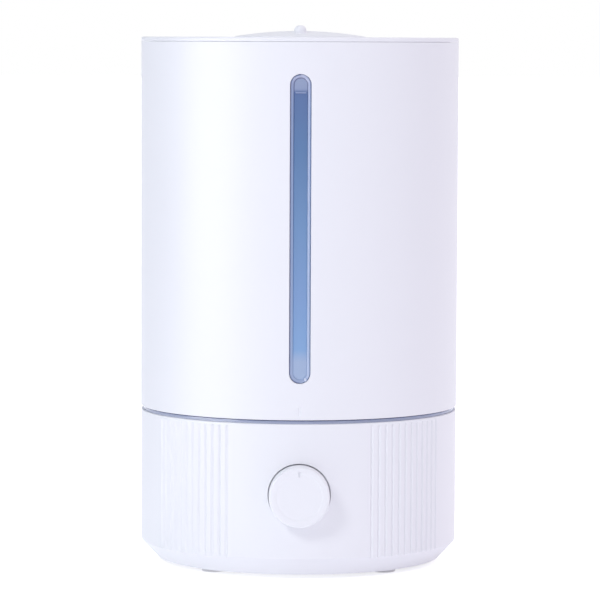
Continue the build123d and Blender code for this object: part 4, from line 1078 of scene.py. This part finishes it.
# The channel's tint is painted light from behind: pale low down, deeper blue upwards as far as the full
# mark, and pale again above it. The bevel is painted paler, as lit, with a painted glint at its top end.
# The step between the two is a line of painted shade, purple-grey at its top end where it faces down,
# and the rim's own coat is painted shade.
window_channel = tall_san("window_blue_san", channel_light_hues, lens_low.z, lens_high.z, 0.2, 0.1)
window_bevel_lit = tall_san("window_bevel_san", bevel_light_hues, lens_low.z, lens_high.z, 0.16, 0.1)
window_rim_shade = clear_san("window_rim_san", "#8490B4", 0.2, 0.1)
window_step_shade = tall_san("window_step_san", step_shade_hues, lens_low.z, lens_high.z, 0.2, 0.1)


def lens_loop(half_width, depth):
    """Slot outline inside the lens's edge, everywhere the same distance from it."""
    return slot_loop(half_width, lens_half_l - lens_half_w + half_width, slot_mid, depth)


def from_middle(point):
    """Distance of a point from the window's upright middle line, seen from the front."""
    past_end = max(abs(point.z - slot_mid) - lens_half_l + lens_half_w, 0)
    return math.hypot(point.x, past_end)


window = loft("level_window", [
    lens_loop(lens_half_w, round_wall(lens_inner_r)),
    *(lens_loop(lens_half_w - inset, round_wall(lens_outer_r - sunk)) for inset, sunk in rim_profile),
    lens_loop(step_half_w, lambda x: step_y),
    lens_loop(channel_half_w, lambda x: channel_y),
])
window_coats = [window_bevel_lit, window_rim_shade, window_step_shade, window_channel]
for coat in window_coats:
    window.data.materials.append(coat)
# Each face takes its coat by its distance from the middle line; the rim has painted shade on the left and,
# on the right, the bevel's paler coat as painted light.
for face in window.data.polygons:
    spread = from_middle(face.center)
    coat = window_rim_shade
    if spread < channel_half_w:
        coat = window_channel
    elif spread < step_half_w:
        coat = window_step_shade
    elif spread < crest_half_w or face.center.x > 0:
        coat = window_bevel_lit
    face.material_index = window_coats.index(coat)
full_mark_levels = [
    (-full_mark_root, 1.0), (full_mark_out - full_mark_ease, 1.0), (full_mark_out, full_mark_taper)]
full_mark_outline = oblong(full_mark_half_w, full_mark_half_h, full_mark_round)
full_mark = loft("full_mark", [
    [(x * size, channel_y - out, full_mark_z + z * size) for x, z in full_mark_outline]
    for out, size in full_mark_levels
])
full_mark.data.materials.append(window_bevel_lit)
weld(window, full_mark)
soften(window, window_crease)
stands_for(window, "window_lens")

# Tank valve: a white plunger with a silicone seal in a screwed cap under the tank. A steel spring
# between the cap's hub and the plunger's collar shuts it when the tank is lifted.
dressed("valve_cap", matt_white)
dressed("valve_cap_gasket", silicone)
dressed("valve_cap_screws", zinc)
dressed("valve_plunger", matt_white)
dressed("valve_seal", silicone)
spring_crease = 60.0
# Drawn spring wire is a bright grey with faint lines.
spring_steel = metal("spring_steel", "#A9ABAF", 0.3, brush_mm=0.4, along="Z")
spring = smooth_copy("valve_spring", spring_steel, spring_crease)
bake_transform(spring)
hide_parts("valve_spring")

# Lid: a flat satin white cover whose ribbed underside plugs the tank's mouth through a silicone
# ring. A white funnel under it guides the mist from the tube to the outlet.
lid_low_box, lid_high_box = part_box("lid")
lid_r = lid_high_box.x
lid_top = lid_high_box.z
lid_low = lid_top - 2.5 * mm
rim_low = sleeve_high.z + 0.12 * mm
rim_w = 1.2 * mm
rim_root_w = 1.5 * mm
lid_round = 1.2 * mm
lid_hole_r = 36.5 * mm
lid_hole_round = 0.4 * mm
skirt_round = 0.6 * mm
skirt_r = 92.6 * mm
skirt_bore_r = 90.6 * mm
skirt_low = lid_low_box.z
groove_r = 91.3 * mm
groove_low = 314.5 * mm
groove_high = 317.0 * mm
rib_count = 8
rib_l = 48.0 * mm
rib_t = 1.8 * mm
rib_h = 4.0 * mm
rib_mid_r = 67.0 * mm
rib_root = 0.4 * mm
lid = turned("lid_cover", rounded([
    (lid_hole_r, lid_low, 0),
    (skirt_bore_r, lid_low, 0),
    (skirt_bore_r, skirt_low, edge_round),
    (skirt_r, skirt_low, skirt_round),
    (skirt_r, groove_low, 0),
    (groove_r, groove_low, 0),
    (groove_r, groove_high, 0),
    (skirt_r, groove_high, 0),
    (skirt_r, lid_low, 0),
    (lid_r - rim_root_w, lid_low, 0),
    (lid_r - rim_w, rim_low, 0),
    (lid_r, rim_low, edge_round),
    (lid_r, lid_top, lid_round),
    (lid_hole_r, lid_top, lid_hole_round),
]), even_angles(wall_columns), white_skin)


def rib_ring_tree(material):
    """Geometry nodes that stand a ring of straight ribs round the axis, pointing outwards."""
    tree = bpy.data.node_groups.new("rib_ring", "GeometryNodeTree")
    tree.interface.new_socket("Geometry", in_out="INPUT", socket_type="NodeSocketGeometry")
    for name in ("Ring Radius", "Length", "Thickness", "Height", "Level"):
        tree.interface.new_socket(name, in_out="INPUT", socket_type="NodeSocketFloat")
    tree.interface.new_socket("Ribs", in_out="INPUT", socket_type="NodeSocketInt")
    tree.interface.new_socket("Geometry", in_out="OUTPUT", socket_type="NodeSocketGeometry")
    given = add_node(tree, "NodeGroupInput").outputs
    circle = add_node(tree, "GeometryNodeMeshCircle", {
        "Vertices": given["Ribs"], "Radius": given["Ring Radius"]})
    half = add_node(tree, "ShaderNodeMath", {0: math.pi, 1: given["Ribs"]}, operation="DIVIDE")
    turn = add_node(tree, "ShaderNodeCombineXYZ", {"Z": half.outputs[0]})
    lift = add_node(tree, "ShaderNodeCombineXYZ", {"Z": given["Level"]})
    spots = add_node(tree, "GeometryNodeTransform", {
        "Geometry": circle.outputs[0], "Translation": lift.outputs[0], "Rotation": turn.outputs[0]})
    place = add_node(tree, "GeometryNodeInputPosition")
    outward = add_node(tree, "ShaderNodeVectorMath", {
        0: place.outputs[0], 1: (1, 1, 0)}, operation="MULTIPLY")
    aim = add_node(tree, "FunctionNodeAlignRotationToVector", {"Vector": outward.outputs[0]}, axis="X")
    size = add_node(tree, "ShaderNodeCombineXYZ", {
        "X": given["Length"], "Y": given["Thickness"], "Z": given["Height"]})
    rib = add_node(tree, "GeometryNodeMeshCube", {"Size": size.outputs[0]})
    ribs = add_node(tree, "GeometryNodeInstanceOnPoints", {
        "Points": spots.outputs[0], "Instance": rib.outputs[0], "Rotation": aim.outputs[0]})
    solid = add_node(tree, "GeometryNodeRealizeInstances", {"Geometry": ribs.outputs[0]})
    painted = add_node(tree, "GeometryNodeSetMaterial", {
        "Geometry": solid.outputs[0], "Material": material})
    add_node(tree, "NodeGroupOutput", {"Geometry": painted.outputs[0]})
    return tree


ribs = mesh_piece("lid_ribs", [], [])
shape_with(ribs, rib_ring_tree(white_skin), ring_radius=rib_mid_r, length=rib_l, thickness=rib_t,
           height=rib_h + rib_root, level=lid_low + rib_root - (rib_h + rib_root) / 2, ribs=rib_count)
weld(lid, ribs)
soften(lid, shell_crease)
stands_for(lid, "lid")
dressed("lid_gasket", silicone)
dressed("lid_duct", matt_white)

# Mist outlet: a low white dome that turns in the lid's hole, held by a ring below. A rounded fin
# turns it, and the mist leaves through the slot behind the fin.
dome_low_box, dome_high_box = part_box("mist_nozzle")
dome_r = dome_high_box.x
fin_top = dome_high_box.z
crown_z = fin_top - 3.3 * mm
dome_low = lid_top + 0.3 * mm
dome_rim_low = lid_top + 0.08 * mm
dome_rim_high = lid_top + 0.5 * mm
dome_foot_round = 0.1 * mm
dome_edge_w = 0.5 * mm
dome_edge_rise = 0.02 * mm
dome_t = 2.2 * mm
dome_rows = 24
dome_bore_rows = 12
dome_columns = 128
spigot_r = 36.0 * mm
spigot_bore_r = 33.6 * mm
spigot_low = dome_low_box.z
fin_half_w = 3.7 * mm
fin_front = -27.0 * mm
fin_rear = 5.0 * mm
fin_round = 3.0 * mm
fin_round_steps = 8
fin_root = 1.6 * mm
outlet_y = 16.0 * mm
outlet_half_l = 18.0 * mm
outlet_half_w = 5.0 * mm


def arch(edge_r, edge_z, top_z, steps):
    """Points (radius, height) of a shallow round arch, from its edge to its top on the axis."""
    rise = top_z - edge_z
    sphere = (edge_r ** 2 + rise ** 2) / (2 * rise)
    reach = math.asin(edge_r / sphere)
    angles = [reach * (1 - i / steps) for i in range(steps + 1)]
    return [Vector((sphere * math.sin(a), top_z - sphere + sphere * math.cos(a))) for a in angles]


dome_skirt = rounded([
    (spigot_bore_r, dome_low, 0),
    (spigot_bore_r, spigot_low, edge_round),
    (spigot_r, spigot_low, edge_round),
    (spigot_r, dome_low, 0),
    (dome_r, dome_rim_low, dome_foot_round),
    (dome_r, dome_rim_high, fine_round),
])
dome_skin = arch(dome_r - dome_edge_w, dome_rim_high + dome_edge_rise, crown_z, dome_rows)
dome_bore = arch(spigot_bore_r, dome_low, crown_z - dome_t, dome_bore_rows)
dome_outline = dome_skirt[1:] + dome_skin + dome_bore[::-1]
dome = turned("mist_dome", dome_outline, even_angles(dome_columns), white_skin)
fin_mid = (fin_front + fin_rear) / 2
fin_half_l = (fin_rear - fin_front) / 2
fin_levels = [(fin_half_w, crown_z - fin_root)]
for i in range(fin_round_steps + 1):
    angle = math.pi / 2 * i / fin_round_steps
    inset = fin_round * (1 - math.cos(angle))
    fin_levels.append((fin_half_w - inset, fin_top - fin_round * (1 - math.sin(angle))))
fin = loft("dome_fin", [
    [(x, fin_mid + y, z) for x, y in upright_slot(half_w, fin_half_l - fin_half_w + half_w)]
    for half_w, z in fin_levels
])
fin.data.materials.append(white_skin)
weld(dome, fin)
carve(dome, loft("outlet_cutter", [
    [(y, outlet_y + x, z) for x, y in upright_slot(outlet_half_w, outlet_half_l)]
    for z in (spigot_low, fin_top)
]))
soften(dome)
stands_for(dome, "mist_nozzle")
dressed("nozzle_retainer", matt_white)
